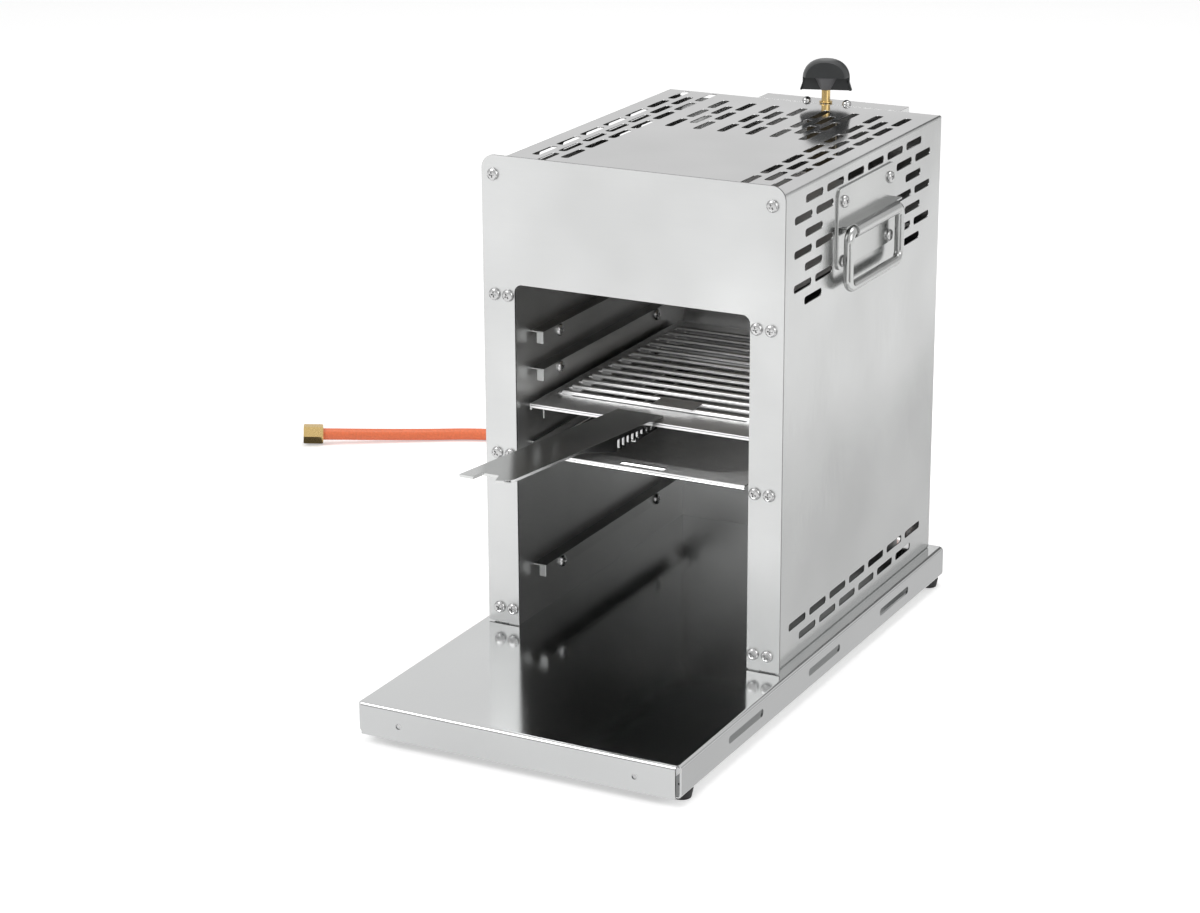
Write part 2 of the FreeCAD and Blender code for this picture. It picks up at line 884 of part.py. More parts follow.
# Cooking chamber: two side walls, a rear wall and the heat shield that is its ceiling.
def make_chamber():
    flange = chamber_outer + size.wall_gap * WALL_FLANGE_SHARE
    for side_name, side in SIDES.items():
        body = new_body(f"inner_wall_{side_name}")
        corner = Drawing(body, "XY")
        corner.outline(
            (chamber_half * side, shell_front),
            (chamber_half * side, chamber_rear + size.sheet),
            (chamber_outer * side, chamber_rear + size.sheet),
            (chamber_outer * side, shell_front + size.sheet),
            (flange * side, shell_front + size.sheet),
            (flange * side, shell_front),
        )
        corner.pad(chamber_height)
        nuts = Drawing(body, "XZ", shell_front)
        for x, z in inner_fascia_screws():
            if x.value * side > 0:
                square_hole(nuts, x, z)
        nuts.cut(size.sheet)
    plate(
        "inner_rear_wall",
        -chamber_half,
        chamber_half,
        chamber_rear,
        chamber_rear + size.sheet,
        ZERO,
        chamber_height,
    )
    body = new_body("heat_shield")
    half = chamber_outer + size.shield_side_reach
    shield = Drawing(body, "XY", chamber_height)
    shield.box(-half, half, shell_front + size.sheet, chamber_rear + size.sheet)
    window = size.burner_window_width / 2
    shield.box(-window, window, window_front(), window_rear())
    shield.pad(size.sheet)


def window_front():
    """Give the front edge of the burner's window, centred along the chamber."""
    return (shell_front + chamber_rear - size.burner_window_depth) / 2


def window_rear():
    """Give the rear edge of the burner's window."""
    return window_front() + size.burner_window_depth


# Burner: a plaque that faces down, its housing, the mixer tube and the gas injector.
def make_burner():
    plaque_half = size.burner_window_width / 2 + size.plaque_rest
    plaque_front = window_front() - size.plaque_rest
    plaque_rear = window_rear() + size.plaque_rest
    body = new_body("ceramic_plaque")
    tile = Drawing(body, "XY", shield_top)
    tile.box(-plaque_half, plaque_half, plaque_front, plaque_rear)
    tile.pad(size.plaque_thickness)
    groove = Drawing(body, "XY", shield_top)
    pitch = size.burner_window_depth / (size.groove_count + 1)
    first = window_front() + pitch
    half = size.burner_window_width / 2
    groove.box(-half, half, first - size.plaque_groove / 2, first + size.plaque_groove / 2)
    groove.repeat(groove.cut(size.plaque_groove), up=(pitch, size.groove_count))

    gap = size.free_gap
    skin = size.burner_skin
    inner_half = plaque_half + gap
    inner_front = plaque_front - gap
    inner_rear = plaque_rear + gap
    body = new_body("burner_housing")
    box = Drawing(body, "XY", shield_top)
    box.box(-inner_half - skin, inner_half + skin, inner_front - skin, inner_rear + skin)
    box.pad(burner_top - shield_top)
    hollow = Drawing(body, "XY", shield_top)
    hollow.box(-inner_half, inner_half, inner_front, inner_rear)
    hollow.cut(burner_top - shield_top - skin)
    port = Drawing(body, "XZ", inner_rear + skin)
    port.circle(size.valve_offset, burner_axis, size.mixer_radius + size.screw_play)
    port.cut(skin + size.overrun, toward=-1)

    back = inner_rear + skin
    x = size.valve_offset
    body = new_body("mixer_tube")
    tube = Drawing(body, "XZ", back - size.mixer_entry)
    tube.circle(x, burner_axis, size.mixer_radius)
    tube.pad(size.mixer_length)
    collar = Drawing(body, "XZ", back)
    collar.circle(x, burner_axis, size.mixer_collar)
    collar.pad(size.thick_sheet)
    rear_end = back - size.mixer_entry + size.mixer_length
    mouth = Drawing(body, "XZ", rear_end - size.mixer_mouth_length)
    mouth.circle(x, burner_axis, size.mixer_radius + size.thick_sheet)
    mouth.pad(size.mixer_mouth_length)
    bore = Drawing(body, "XZ", back - size.mixer_entry)
    bore.circle(x, burner_axis, size.mixer_radius - size.thick_sheet)
    bore.cut(size.mixer_length)

    seat = valve_y - size.valve_depth / 2
    body = new_body("gas_injector")
    hexagon = Drawing(body, "XZ", seat - size.injector_hex_length)
    hexagon.hexagon(x, burner_axis, size.injector_hex_radius)
    hexagon.pad(size.injector_hex_length)
    nose = Drawing(body, "XZ", seat - size.injector_hex_length)
    nose.circle(x, burner_axis, size.injector_nose_radius)
    nose.pad(size.injector_nose_length, toward=-1)
    stub = Drawing(body, "XZ", seat)
    stub.circle(x, burner_axis, size.injector_nose_radius)
    stub.pad(size.injector_stub_length)
    jet = Drawing(body, "XZ", seat + size.injector_stub_length)
    jet.circle(x, burner_axis, size.injector_jet_radius)
    length = size.injector_stub_length + size.injector_hex_length + size.injector_nose_length
    jet.cut(length + size.overrun, toward=-1)


# Rails: short channels with a closed front end, on the chamber's side walls.
def make_rail(side_name, level, top):
    side = SIDES[side_name]
    body = new_body(f"rail_{side_name}_{level}")
    skin = size.sheet
    foot = top - size.rail_height
    section = Drawing(body, "XZ", size.rail_front_inset)
    section.outline(
        (chamber_half * side, foot),
        (chamber_half * side, top),
        (rail_inner * side, top),
        (rail_inner * side, top - size.rail_lip),
        ((rail_inner + skin) * side, top - size.rail_lip),
        ((rail_inner + skin) * side, top - skin),
        ((chamber_half - skin) * side, top - skin),
        ((chamber_half - skin) * side, foot),
    )
    section.pad(rail_rear - size.rail_front_inset)
    tab = Drawing(body, "XZ", size.rail_front_inset)
    low, high = (rail_inner, chamber_half) if side > 0 else (-chamber_half, -rail_inner)
    tab.box(low, high, foot, top)
    tab.pad(skin)


def make_rails():
    upper = chamber_height - size.rail_top_drop
    for side_name in SIDES:
        for level in range(1, COUNTS["rail_levels"] + 1):
            make_rail(side_name, level, upper - size.rail_pitch * (level - 1))
        make_rail(side_name, COUNTS["rail_levels"] + 1, size.low_rail_height)


# Grate: a folded frame with welded round rods and a catch for the lifter.
def grate_rear():
    """Give the rear edge of the grate."""
    return rail_rear - size.pan_rear_gap


def make_grate():
    skin = size.thick_sheet
    rear = grate_rear()
    body = new_body("grate_frame")
    face = Drawing(body, "XY", grate_top - skin)
    face.box(-grate_half, grate_half, grate_front, rear)
    inner = grate_half - size.grate_strip
    face.box(-inner, inner, grate_front + size.grate_front_strip, rear - size.grate_rear_strip)
    face.pad(skin)
    foot = grate_top - size.grate_lip_drop
    lips = Drawing(body, "XZ", grate_front)
    for side in SIDES.values():
        low, high = (grate_half - skin, grate_half) if side > 0 else (-grate_half, skin - grate_half)
        lips.box(low, high, foot, grate_top)
    lips.pad(rear - grate_front)
    front_lip = Drawing(body, "XZ", grate_front)
    front_lip.box(-grate_half, grate_half, foot, grate_top)
    front_lip.pad(skin)
    tab_foot = grate_front + size.tab_foot_inset
    rod_top = grate_top - size.weld_sink + size.rod_radius * 2
    tab = Drawing(body, "YZ", size.tab_offset)
    tab.outline(
        (tab_foot, grate_top - skin),
        (tab_foot + skin, grate_top - skin),
        (tab_foot + skin, rod_top - size.weld_sink),
        (tab_foot + size.tab_length, rod_top - size.weld_sink),
        (tab_foot + size.tab_length, rod_top - size.weld_sink + skin),
        (tab_foot, rod_top - size.weld_sink + skin),
    )
    tab.pad(size.tab_width, both=True)

    first = grate_front + size.grate_front_strip + size.rod_radius + size.free_gap
    last = rear - size.grate_rear_strip - size.rod_radius - size.free_gap
    pitch = (last - first) / (size.rod_count - 1)
    half = (grate_half - size.rod_side_inset).value
    z = (grate_top - size.weld_sink + size.rod_radius).value
    rods = []
    for number in range(COUNTS["rod_count"]):
        y = (first + pitch * number).value
        rods.append(
            Part.makeCylinder(size.rod_radius.value, half * 2, Vector(-half, y, z), Vector(1, 0, 0))
        )
    new_shape("grate_rods", Part.makeCompound(rods))


# Lifter: a loose fork that hooks the grate's front edge, with a scraper comb and an opener.
def make_lifter():
    thick = size.lifter_thickness
    half = size.lifter_width / 2
    middle = size.lifter_offset
    root = grate_front + size.lifter_overlap
    seat = grate_top + size.free_gap
    body = new_body("lifter")
    strip = Drawing(body, "YZ", middle)
    strip.outline(
        (root, seat),
        (root, seat + thick),
        (lifter_tip, seat + thick + size.lifter_rise),
        (lifter_tip, seat + size.lifter_rise),
    )
    strip.pad(size.lifter_width, both=True)
    slope = size.lifter_rise / (size.lifter_reach + size.lifter_overlap)
    riser_front = grate_front - size.riser_gap
    riser_rear = riser_front + thick
    under = grate_top - size.grate_lip_drop - size.tongue_gap
    tongue_rear = grate_front + size.tongue_overlap
    fork = Drawing(body, "YZ", middle)
    fork.outline(
        (riser_front, under - thick),
        (tongue_rear, under - thick),
        (tongue_rear, under),
        (riser_rear, under),
        (riser_rear, seat + thick / 2 + slope * (root - riser_rear)),
        (riser_front, seat + thick / 2 + slope * (root - riser_front)),
    )
    fork.pad(size.lifter_width - thick * 4, both=True)
    rear = grate_front - size.comb_rear_gap
    front = rear - size.comb_flat
    tip = front - size.comb_taper
    foot = grate_top - size.comb_drop
    teeth = []
    pitch = size.comb_flat / size.comb_teeth
    for number in range(COUNTS["comb_teeth"]):
        start = rear - pitch * number
        teeth.append((start, foot))
        teeth.append((start - pitch / 2, foot + size.comb_tooth))
    comb = Drawing(body, "YZ", middle + half - thick)
    comb.outline(
        (rear, seat + thick / 2 + slope * (root - rear)),
        *teeth,
        (front, foot),
        (tip, seat + thick / 2 + slope * (root - tip)),
    )
    comb.pad(thick)
    top = seat + thick + size.lifter_rise + size.overrun
    depth = thick + size.overrun * 2 + size.lifter_tip_corner * slope * 2
    left = middle - half
    notch = left + size.opener_inset
    opener = Drawing(body, "XY", top)
    opener.outline(
        (notch, lifter_tip - size.overrun),
        (notch + size.opener_width, lifter_tip - size.overrun),
        (notch + size.opener_width, lifter_tip),
        (notch + size.opener_heel, lifter_tip + size.opener_depth),
        (notch, lifter_tip + size.opener_depth),
    )
    opener.cut(depth, toward=-1)
    right = middle + half
    corner = Drawing(body, "XY", top)
    corner.outline(
        (right - size.lifter_tip_corner, lifter_tip - size.overrun),
        (right + size.overrun, lifter_tip - size.overrun),
        (right + size.overrun, lifter_tip + size.lifter_tip_corner * 2),
        (right, lifter_tip + size.lifter_tip_corner * 2),
        (right, lifter_tip, size.lifter_tip_corner),
        (notch + size.opener_width, lifter_tip),
        (notch + size.opener_width, lifter_tip - size.overrun),
    )
    corner.cut(depth, toward=-1)


# Drip pan: a shallow tub with a flat rim that hangs on the rails.
def make_drip_pan():
    skin = size.sheet
    half = chamber_half - size.pan_side_gap
    rear = grate_rear()
    rim = pan_rail_top + size.free_gap
    rim_top = rim + skin
    body = new_body("drip_pan")
    rim_plate = Drawing(body, "XY", rim)
    rim_plate.box(-half, half, ZERO, rear)
    rim_plate.pad(skin)
    tub_half = half - size.pan_wall_inset
    tub_front = size.pan_front_inset
    tub_rear = rear - size.pan_rear_inset
    corner = size.pan_corner
    tub = Drawing(body, "XY", rim_top - size.pan_depth)
    tub.outline(
        (-tub_half, tub_front, corner),
        (tub_half, tub_front, corner),
        (tub_half, tub_rear, corner),
        (-tub_half, tub_rear, corner),
    )
    tub.pad(size.pan_depth - skin / 2)
    hollow = Drawing(body, "XY", rim_top)
    hollow.outline(
        (skin - tub_half, tub_front + skin, corner - skin),
        (tub_half - skin, tub_front + skin, corner - skin),
        (tub_half - skin, tub_rear - skin, corner - skin),
        (skin - tub_half, tub_rear - skin, corner - skin),
    )
    hollow.cut(size.pan_depth - skin, toward=-1)
    lip = Drawing(body, "XZ")
    lip.box(-half, half, rim_top - size.pan_lip_drop, rim_top)
    lip.pad(skin)
    slot_half = size.pan_slot_width / 2
    middle = size.pan_slot_offset
    slot = Drawing(body, "XY", rim_top)
    slot_rear = size.pan_slot_inset + size.pan_slot_depth
    slot.box(middle - slot_half, middle + slot_half, size.pan_slot_inset, slot_rear)
    slot.cut(skin + size.overrun, toward=-1)


# Side handles: a plate with a rolled knuckle, and a wire bail that turns in it.
def handle_screw_places():
    """Give the four screws of a handle plate, as places along Y and Z."""
    reach = size.handle_plate_length / 2 - size.handle_screw_end_inset
    heights = (
        handle_top - size.handle_screw_top_inset,
        handle_foot + size.handle_screw_foot_inset,
    )
    return [(handle_middle + reach * end, z) for end in (-1, 1) for z in heights]


def make_handle(side_name):
    side = SIDES[side_name]
    half = size.handle_plate_length / 2
    body = new_body(f"handle_plate_{side_name}")
    face = Drawing(body, "YZ", shell_half * side)
    corner = size.handle_plate_corner
    face.outline(
        (handle_middle - half, handle_foot, corner),
        (handle_middle + half, handle_foot, corner),
        (handle_middle + half, handle_top, corner),
        (handle_middle - half, handle_top, corner),
    )
    for y, z in handle_screw_places():
        square_hole(face, y, z)
    face.pad(size.thick_sheet, toward=side)
    wire = size.bail_radius
    bore = wire + size.running_gap
    outer = bore + size.knuckle_wall
    roll_half = size.bail_span / 2 - size.bail_bend - size.knuckle_end_gap
    roll = Drawing(body, "XZ", handle_middle - roll_half)
    roll.circle(bail_axis_x * side, bail_axis_z, outer)
    roll.pad(roll_half * 2)
    root = shell_half + size.thick_sheet / 2
    low, high = (root, bail_axis_x) if side > 0 else (-bail_axis_x, -root)
    cover_half = size.bail_span / 2 + wire
    bridge = Drawing(body, "XZ", handle_middle - cover_half)
    bridge.box(low, high, bail_axis_z + bore + size.running_gap, bail_axis_z + outer)
    bridge.pad(cover_half * 2)
    hole = Drawing(body, "XZ", handle_middle - roll_half)
    hole.circle(bail_axis_x * side, bail_axis_z, bore)
    hole.cut(roll_half * 2)

    body = new_body(
        f"bail_{side_name}", bail_axis_x * side, handle_middle, bail_axis_z
    )
    path_half = size.bail_span / 2
    inner = path_half - size.bail_turn_in
    bend = size.bail_bend
    path = Drawing(body, "YZ")
    route = [
        (inner, ZERO),
        (path_half, ZERO),
        (path_half, -size.bail_drop),
        (-path_half, -size.bail_drop),
        (-path_half, ZERO),
        (-inner, ZERO),
    ]
    draw_bent_path(path.sketch, route, bend)
    section = Drawing(body, "XZ", inner)
    section.circle(ZERO, ZERO, wire)
    pipe = body.newObject("PartDesign::AdditivePipe", f"BailPipe{side_name}")
    pipe.Profile = section.sketch
    pipe.Spine = path.sketch


def draw_bent_path(sketch, route, bend):
    """Draw an open path of square bends, each point of it bound to the sheet."""
    steps = []
    for index, (x, y) in enumerate(route):
        if index in (0, len(route) - 1):
            steps.append(((x, y), None, 0))
            continue
        into = direction(route[index - 1], (x, y))
        out = direction((x, y), route[index + 1])
        centre = (shifted(x, bend, out[0] - into[0]), shifted(y, bend, out[1] - into[1]))
        turn = into[0] * out[1] - into[1] * out[0]
        steps.append(((shifted(x, bend, -into[0]), shifted(y, bend, -into[1])), centre, turn))
        steps.append(((shifted(x, bend, out[0]), shifted(y, bend, out[1])), None, 0))
    last = None
    for index in range(len(steps) - 1):
        start, centre, turn = steps[index]
        stop = steps[index + 1][0]
        first = Vector(start[0].value, start[1].value, 0)
        final = Vector(stop[0].value, stop[1].value, 0)
        if centre is None:
            geometry = sketch.addGeometry(Part.LineSegment(first, final), False)
            ends = (1, 2)
        else:
            middle = Vector(centre[0].value, centre[1].value, 0)
            low, high = (first, final) if turn > 0 else (final, first)
            circle = Part.Circle(middle, Vector(0, 0, 1), bend.value)
            low_angle = math.atan2(low.y - middle.y, low.x - middle.x)
            high_angle = math.atan2(high.y - middle.y, high.x - middle.x)
            if high_angle <= low_angle:
                high_angle += 2 * math.pi
            arc = Part.ArcOfCircle(circle, low_angle, high_angle)
            geometry = sketch.addGeometry(arc, False)
            ends = (1, 2) if turn > 0 else (2, 1)
        rows = [("DistanceX", ends[0], start[0]), ("DistanceY", ends[0], start[1])]
        if centre is not None:
            rows.append(("DistanceX", 3, centre[0]))
        if index == len(steps) - 2:
            rows += [("DistanceX", ends[1], stop[0]), ("DistanceY", ends[1], stop[1])]
        for kind, point, value in rows:
            constraint = Sketcher.Constraint(kind, -1, 1, geometry, point, value.value)
            number = sketch.addConstraint(constraint)
            bind(sketch, f"Constraints[{number}]", value)
        if last is not None:
            sketch.addConstraint(
                Sketcher.Constraint("Coincident", last[0], last[1], geometry, ends[0])
            )
        last = (geometry, ends[1])


def make_handles():
    solids = []
    for side_name, side in SIDES.items():
        make_handle(side_name)
        for y, z in handle_screw_places():
            solids.append(screw((handle_face * side, y, z), (-side, 0, 0)))
    new_shape("handle_screws", Part.makeCompound(solids))


# Gas valve on its bracket behind the shell, with the spindle and the knob above it.
def make_valve():
    x = size.valve_offset
    half = size.valve_width / 2
    deep = size.valve_depth / 2
    foot = valve_foot
    flange_foot = bracket_under - size.valve_flange_height
    body = new_body("valve_body")
    block = Drawing(body, "XY", foot)
    block.box(x - half, x + half, valve_y - deep, valve_y + deep)
    block.pad(flange_foot - foot)
    wing = size.valve_flange_width / 2
    flange = Drawing(body, "XY", flange_foot)
    flange.box(x - wing, x + wing, panel_rear + size.sheet, valve_y + deep)
    flange.pad(size.valve_flange_height)
    neck = Drawing(body, "XY", flange_foot)
    neck.box(x - half, x + half, valve_y - deep, valve_y + deep)
    neck.pad(size.valve_flange_height)
    bore = Drawing(body, "XY", bracket_under)
    bore.circle(x, valve_y, size.spindle_radius + size.running_gap)
    bore.cut(size.spindle_drop, toward=-1)
    socket = Drawing(body, "XZ", valve_y - deep)
    socket.circle(x, burner_axis, size.injector_nose_radius + size.running_gap)
    socket.cut(size.valve_socket_depth)
    inlet = Drawing(body, "XZ", valve_y + deep)
    inlet.circle(x, size.shell_height - size.valve_inlet_drop, size.inlet_stub_radius + size.running_gap)
    inlet.cut(size.valve_socket_depth - size.sheet, toward=-1)


def make_valve_bracket():
    x = size.valve_offset
    left = -size.bracket_left
    right = size.bracket_right
    skin = size.sheet
    flange_gap = size.valve_flange_width / 2 + size.free_gap
    body = new_body("valve_bracket")
    tab = Drawing(body, "XY", bracket_under)
    tab.box(left, right, bracket_front, bracket_rear)
    tab.circle(x, valve_y, size.spindle_radius + size.free_gap)
    tab.pad(skin)
    foot = bracket_top - size.bracket_drop
    back = Drawing(body, "XZ", panel_rear)
    back.box(left, x - flange_gap, foot, bracket_top)
    back.box(x + flange_gap, right, foot, bracket_top)
    back.pad(skin)
    for at in (left, right - skin):
        cheek = Drawing(body, "YZ", at)
        cheek.outline(
            (panel_rear, bracket_top - size.cheek_drop),
            (bracket_rear, bracket_top - size.cheek_tip_drop),
            (bracket_rear, bracket_top),
            (panel_rear, bracket_top),
        )
        cheek.pad(skin)


def make_knob():
    x = size.valve_offset
    base = bracket_top + size.knob_lift
    body = new_body("valve_spindle", x, valve_y, base)
    low = -(size.knob_lift + size.sheet + size.spindle_drop - size.free_gap)
    rod = Drawing(body, "XY", low)
    rod.circle(ZERO, ZERO, size.spindle_radius)
    rod.pad(size.knob_socket - low)
    collar = Drawing(body, "XY", size.free_gap - size.knob_lift)
    collar.circle(ZERO, ZERO, size.spindle_collar_radius)
    collar.pad(size.sheet)

    body = new_body("control_knob", x, valve_y, base)
    turn = FreeCAD.Rotation(Vector(0, 0, 1), KNOB_TURN)
    body.Placement = FreeCAD.Placement(Vector(0, 0, 0), turn)
    bore = size.spindle_radius + size.running_gap
    top = size.knob_height
    hub = size.knob_hub_radius
    inner = size.knob_radius - size.knob_wall
    roof = top - size.knob_roof
    profile = Drawing(body, "XZ")
    profile.outline(
        (ZERO, size.knob_socket),
        (ZERO, top),
        (size.knob_radius, top, size.knob_edge),
        (size.knob_radius, size.knob_skirt_height),
        (size.knob_skirt_radius, ZERO),
        (size.knob_skirt_radius - size.knob_wall, ZERO),
        (inner, size.knob_skirt_height),
        (inner, roof, (inner - hub) * KNOB_INNER_SHARE),
        (hub, roof),
        (hub, ZERO),
        (bore, ZERO),
        (bore, size.knob_socket),
    )
    turned = body.newObject("PartDesign::Revolution", "KnobTurned")
    turned.Profile = profile.sketch
    turned.ReferenceAxis = (profile.sketch, ["V_Axis"])
    turned.Angle = 360
    window = Drawing(body, "XZ", -size.knob_skirt_radius)
    half = size.knob_skirt_radius
    window.box(-half, half, -size.overrun, size.knob_visor_height)
    window.cut(size.knob_skirt_radius - size.knob_hub_radius - size.knob_wall)


# Gas hose: inlet fitting, a stiff hose down to the table and away to the left, and a union nut.
def rounded_route(points):
    """Join straight runs with tangent arcs and print the arcs' radii."""
    edges = []
    radii = []
    start = Vector(*points[0])
    for before, corner, after in zip(points, points[1:], points[2:]):
        middle = Vector(*corner)
        back = Vector(*before) - middle
        ahead = Vector(*after) - middle
        reach = ROUTE_ARC_SHARE * min(back.Length, ahead.Length)
        back.normalize()
        ahead.normalize()
        half_turn = (math.pi - back.getAngle(ahead)) / 2
        radius = reach / math.tan(half_turn)
        first = middle + back * reach
        last = middle + ahead * reach
        bisector = (back + ahead).normalize()
        crown = middle + bisector * (radius / math.cos(half_turn) - radius)
        edges.append(Part.LineSegment(start, first).toShape())
        edges.append(Part.Arc(first, crown, last).toShape())
        radii.append(round(radius, 1))
        start = last
    edges.append(Part.LineSegment(start, Vector(*points[-1])).toShape())
    print("route radii", radii)
    return Part.Wire(edges)


def tube(path, start, heading):
    """Sweep the hose's round section along a path."""
    ring = Part.Wire(Part.makeCircle(size.hose_radius.value, start, heading))
    solid = path.makePipeShell([ring], True, False)
    section = math.pi * size.hose_radius.value**2
    print("tube volume over section times length", round(solid.Volume / section / path.Length, 4))
    print("tube length", round(path.Length, 1))
    return solid


def make_hose():
    x = size.valve_offset
    z = size.shell_height - size.valve_inlet_drop
    face = valve_y + size.valve_depth / 2
    body = new_body("hose_inlet_fitting")
    nut = Drawing(body, "XZ", face)
    nut.hexagon(x, z, size.inlet_hex_radius)
    nut.pad(size.inlet_hex_length)
    sleeve = Drawing(body, "XZ", face + size.inlet_hex_length)
    sleeve.circle(x, z, size.inlet_sleeve_radius)
    sleeve.pad(size.inlet_sleeve_length)
    stub = Drawing(body, "XZ", face)
    stub.circle(x, z, size.inlet_stub_radius)
    stub.pad(size.valve_socket_depth - size.sheet * 2, toward=-1)

    start = Vector(*HOSE_ROUTE[0])
    heading = Vector(*HOSE_ROUTE[1]) - start
    new_shape("gas_hose", tube(rounded_route(HOSE_ROUTE), start, heading))
    end = Vector(*HOSE_ROUTE[-1])
    way = (end - Vector(*HOSE_ROUTE[-2])).normalize()
    across = way.cross(Vector(0, 0, 1)).normalize()
    up = across.cross(way)
    corners = []
    for number in range(6):
        angle = math.pi / 3 * number
        arm = across * math.cos(angle) + up * math.sin(angle)
        corners.append(end + arm * size.end_nut_radius.value)
    face = Part.Face(Part.makePolygon(corners + corners[:1]))
    new_shape("hose_end_nut", face.extrude(way * size.end_nut_length.value))


def main():
    """Build every piece, check it and write it out."""
    os.makedirs("parts", exist_ok=True)
    make_base_tray()
    make_feet()
    make_outer_shell()
    make_front_fascia()
    make_rear_panel()
    make_chamber()
    make_burner()
    make_rails()
    make_grate()
    make_lifter()
    make_drip_pan()
    make_handles()
    make_valve()
    make_valve_bracket()
    make_knob()
    make_hose()
    doc.recompute()
    for obj in doc.Objects:
        if "Invalid" in obj.State or "Error" in obj.State:
            raise RuntimeError(f"{obj.Name} ({obj.Label}) failed: {obj.State}")
    for feature, base in cuts:
        if feature.Shape.Volume >= base.Shape.Volume:
            raise RuntimeError(f"{feature.Name} cuts nothing")
    for node in nodes:
        if node.Shape.isNull() or not node.Shape.isValid():
            raise RuntimeError(f"{node.Label} has no valid shape")
    for node in nodes:
        node.Shape.exportStep(f"parts/{node.Label}.step")
        box = node.Shape.BoundBox
        print(
            f"{node.Label}: {len(node.Shape.Solids)} solids, volume {node.Shape.Volume:.0f},",
            f"x {box.XMin:.1f}..{box.XMax:.1f}, y {box.YMin:.1f}..{box.YMax:.1f},",
            f"z {box.ZMin:.1f}..{box.ZMax:.1f}",
        )
    print(len(nodes), "nodes")


main()
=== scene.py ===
"""Looks of a gas-fired top-heat grill: stainless housing, burner, grate, pan, valve and hose."""
import logging
import math
from dataclasses import dataclass, field
from enum import Enum
from typing import Callable, Iterable, Optional, Sequence

import bmesh
import bpy
from mathutils import Matrix, Vector
from mathutils.geometry import tessellate_polygon


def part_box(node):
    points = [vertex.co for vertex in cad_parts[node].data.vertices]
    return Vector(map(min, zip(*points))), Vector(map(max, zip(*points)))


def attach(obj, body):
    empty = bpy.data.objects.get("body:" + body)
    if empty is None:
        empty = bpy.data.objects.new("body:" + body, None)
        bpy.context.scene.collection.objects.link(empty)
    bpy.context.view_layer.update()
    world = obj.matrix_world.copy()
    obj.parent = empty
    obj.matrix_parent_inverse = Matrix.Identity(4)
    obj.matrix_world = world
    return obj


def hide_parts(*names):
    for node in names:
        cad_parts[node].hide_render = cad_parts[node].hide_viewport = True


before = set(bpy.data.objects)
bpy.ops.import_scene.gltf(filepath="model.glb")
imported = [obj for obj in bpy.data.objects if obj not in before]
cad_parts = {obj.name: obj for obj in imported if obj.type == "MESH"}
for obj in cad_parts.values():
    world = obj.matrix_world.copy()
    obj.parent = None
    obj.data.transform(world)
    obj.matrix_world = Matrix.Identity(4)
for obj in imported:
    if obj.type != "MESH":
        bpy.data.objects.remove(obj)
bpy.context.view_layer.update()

LOG = logging.getLogger("grill")

Point = tuple[float, float]
Place = Callable[[float, float, float], Vector]
Piece = bpy.types.Object
Socket = bpy.types.NodeSocket
Work = bmesh.types.BMesh
Corner = bmesh.types.BMVert
Face = bmesh.types.BMFace

MM = 0.001
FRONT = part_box("front_fascia")[0][1]
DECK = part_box("base_tray")[1][2]
HOUSING = "housing"


def at(x: float, y: float, z: float) -> Vector:
    """Give a place in the model from millimetres on the housing.

    Args:
        x: Distance to the right of the middle plane.
        y: Distance behind the fascia's front face.
        z: Height over the base tray's deck.

    Returns:
        The place in metres in the model's frame.
    """
    return Vector((x * MM, FRONT + y * MM, DECK + z * MM))


class Plane(Enum):
    """Planes that a flat sheet is drawn on, by the axes of its drawing."""

    FRONT = "x across, z up, thickness along y"
    SIDE = "y across, z up, thickness along x"
    TOP = "x across, y up, thickness along z"

    def place(self, level: float) -> Place:
        """Give the function that puts a drawing on this plane into the model.

        Args:
            level: Where the sheet's first face lies, in millimetres.

        Returns:
            The function of the drawing's two measures and the height in the sheet.
        """
        if self is Plane.FRONT:
            return lambda u, v, w: at(u, level + w, v)
        if self is Plane.SIDE:
            return lambda u, v, w: at(level + w, u, v)
        return lambda u, v, w: at(u, v, level + w)


class Grain(Enum):
    """Directions in which a sheet was brushed, as the noise stretch along x, y and z."""

    ALONG_X = (2.0, 90.0, 90.0)
    ALONG_Y = (90.0, 2.0, 90.0)
    ALONG_Z = (90.0, 90.0, 2.0)
    NONE = (40.0, 40.0, 40.0)


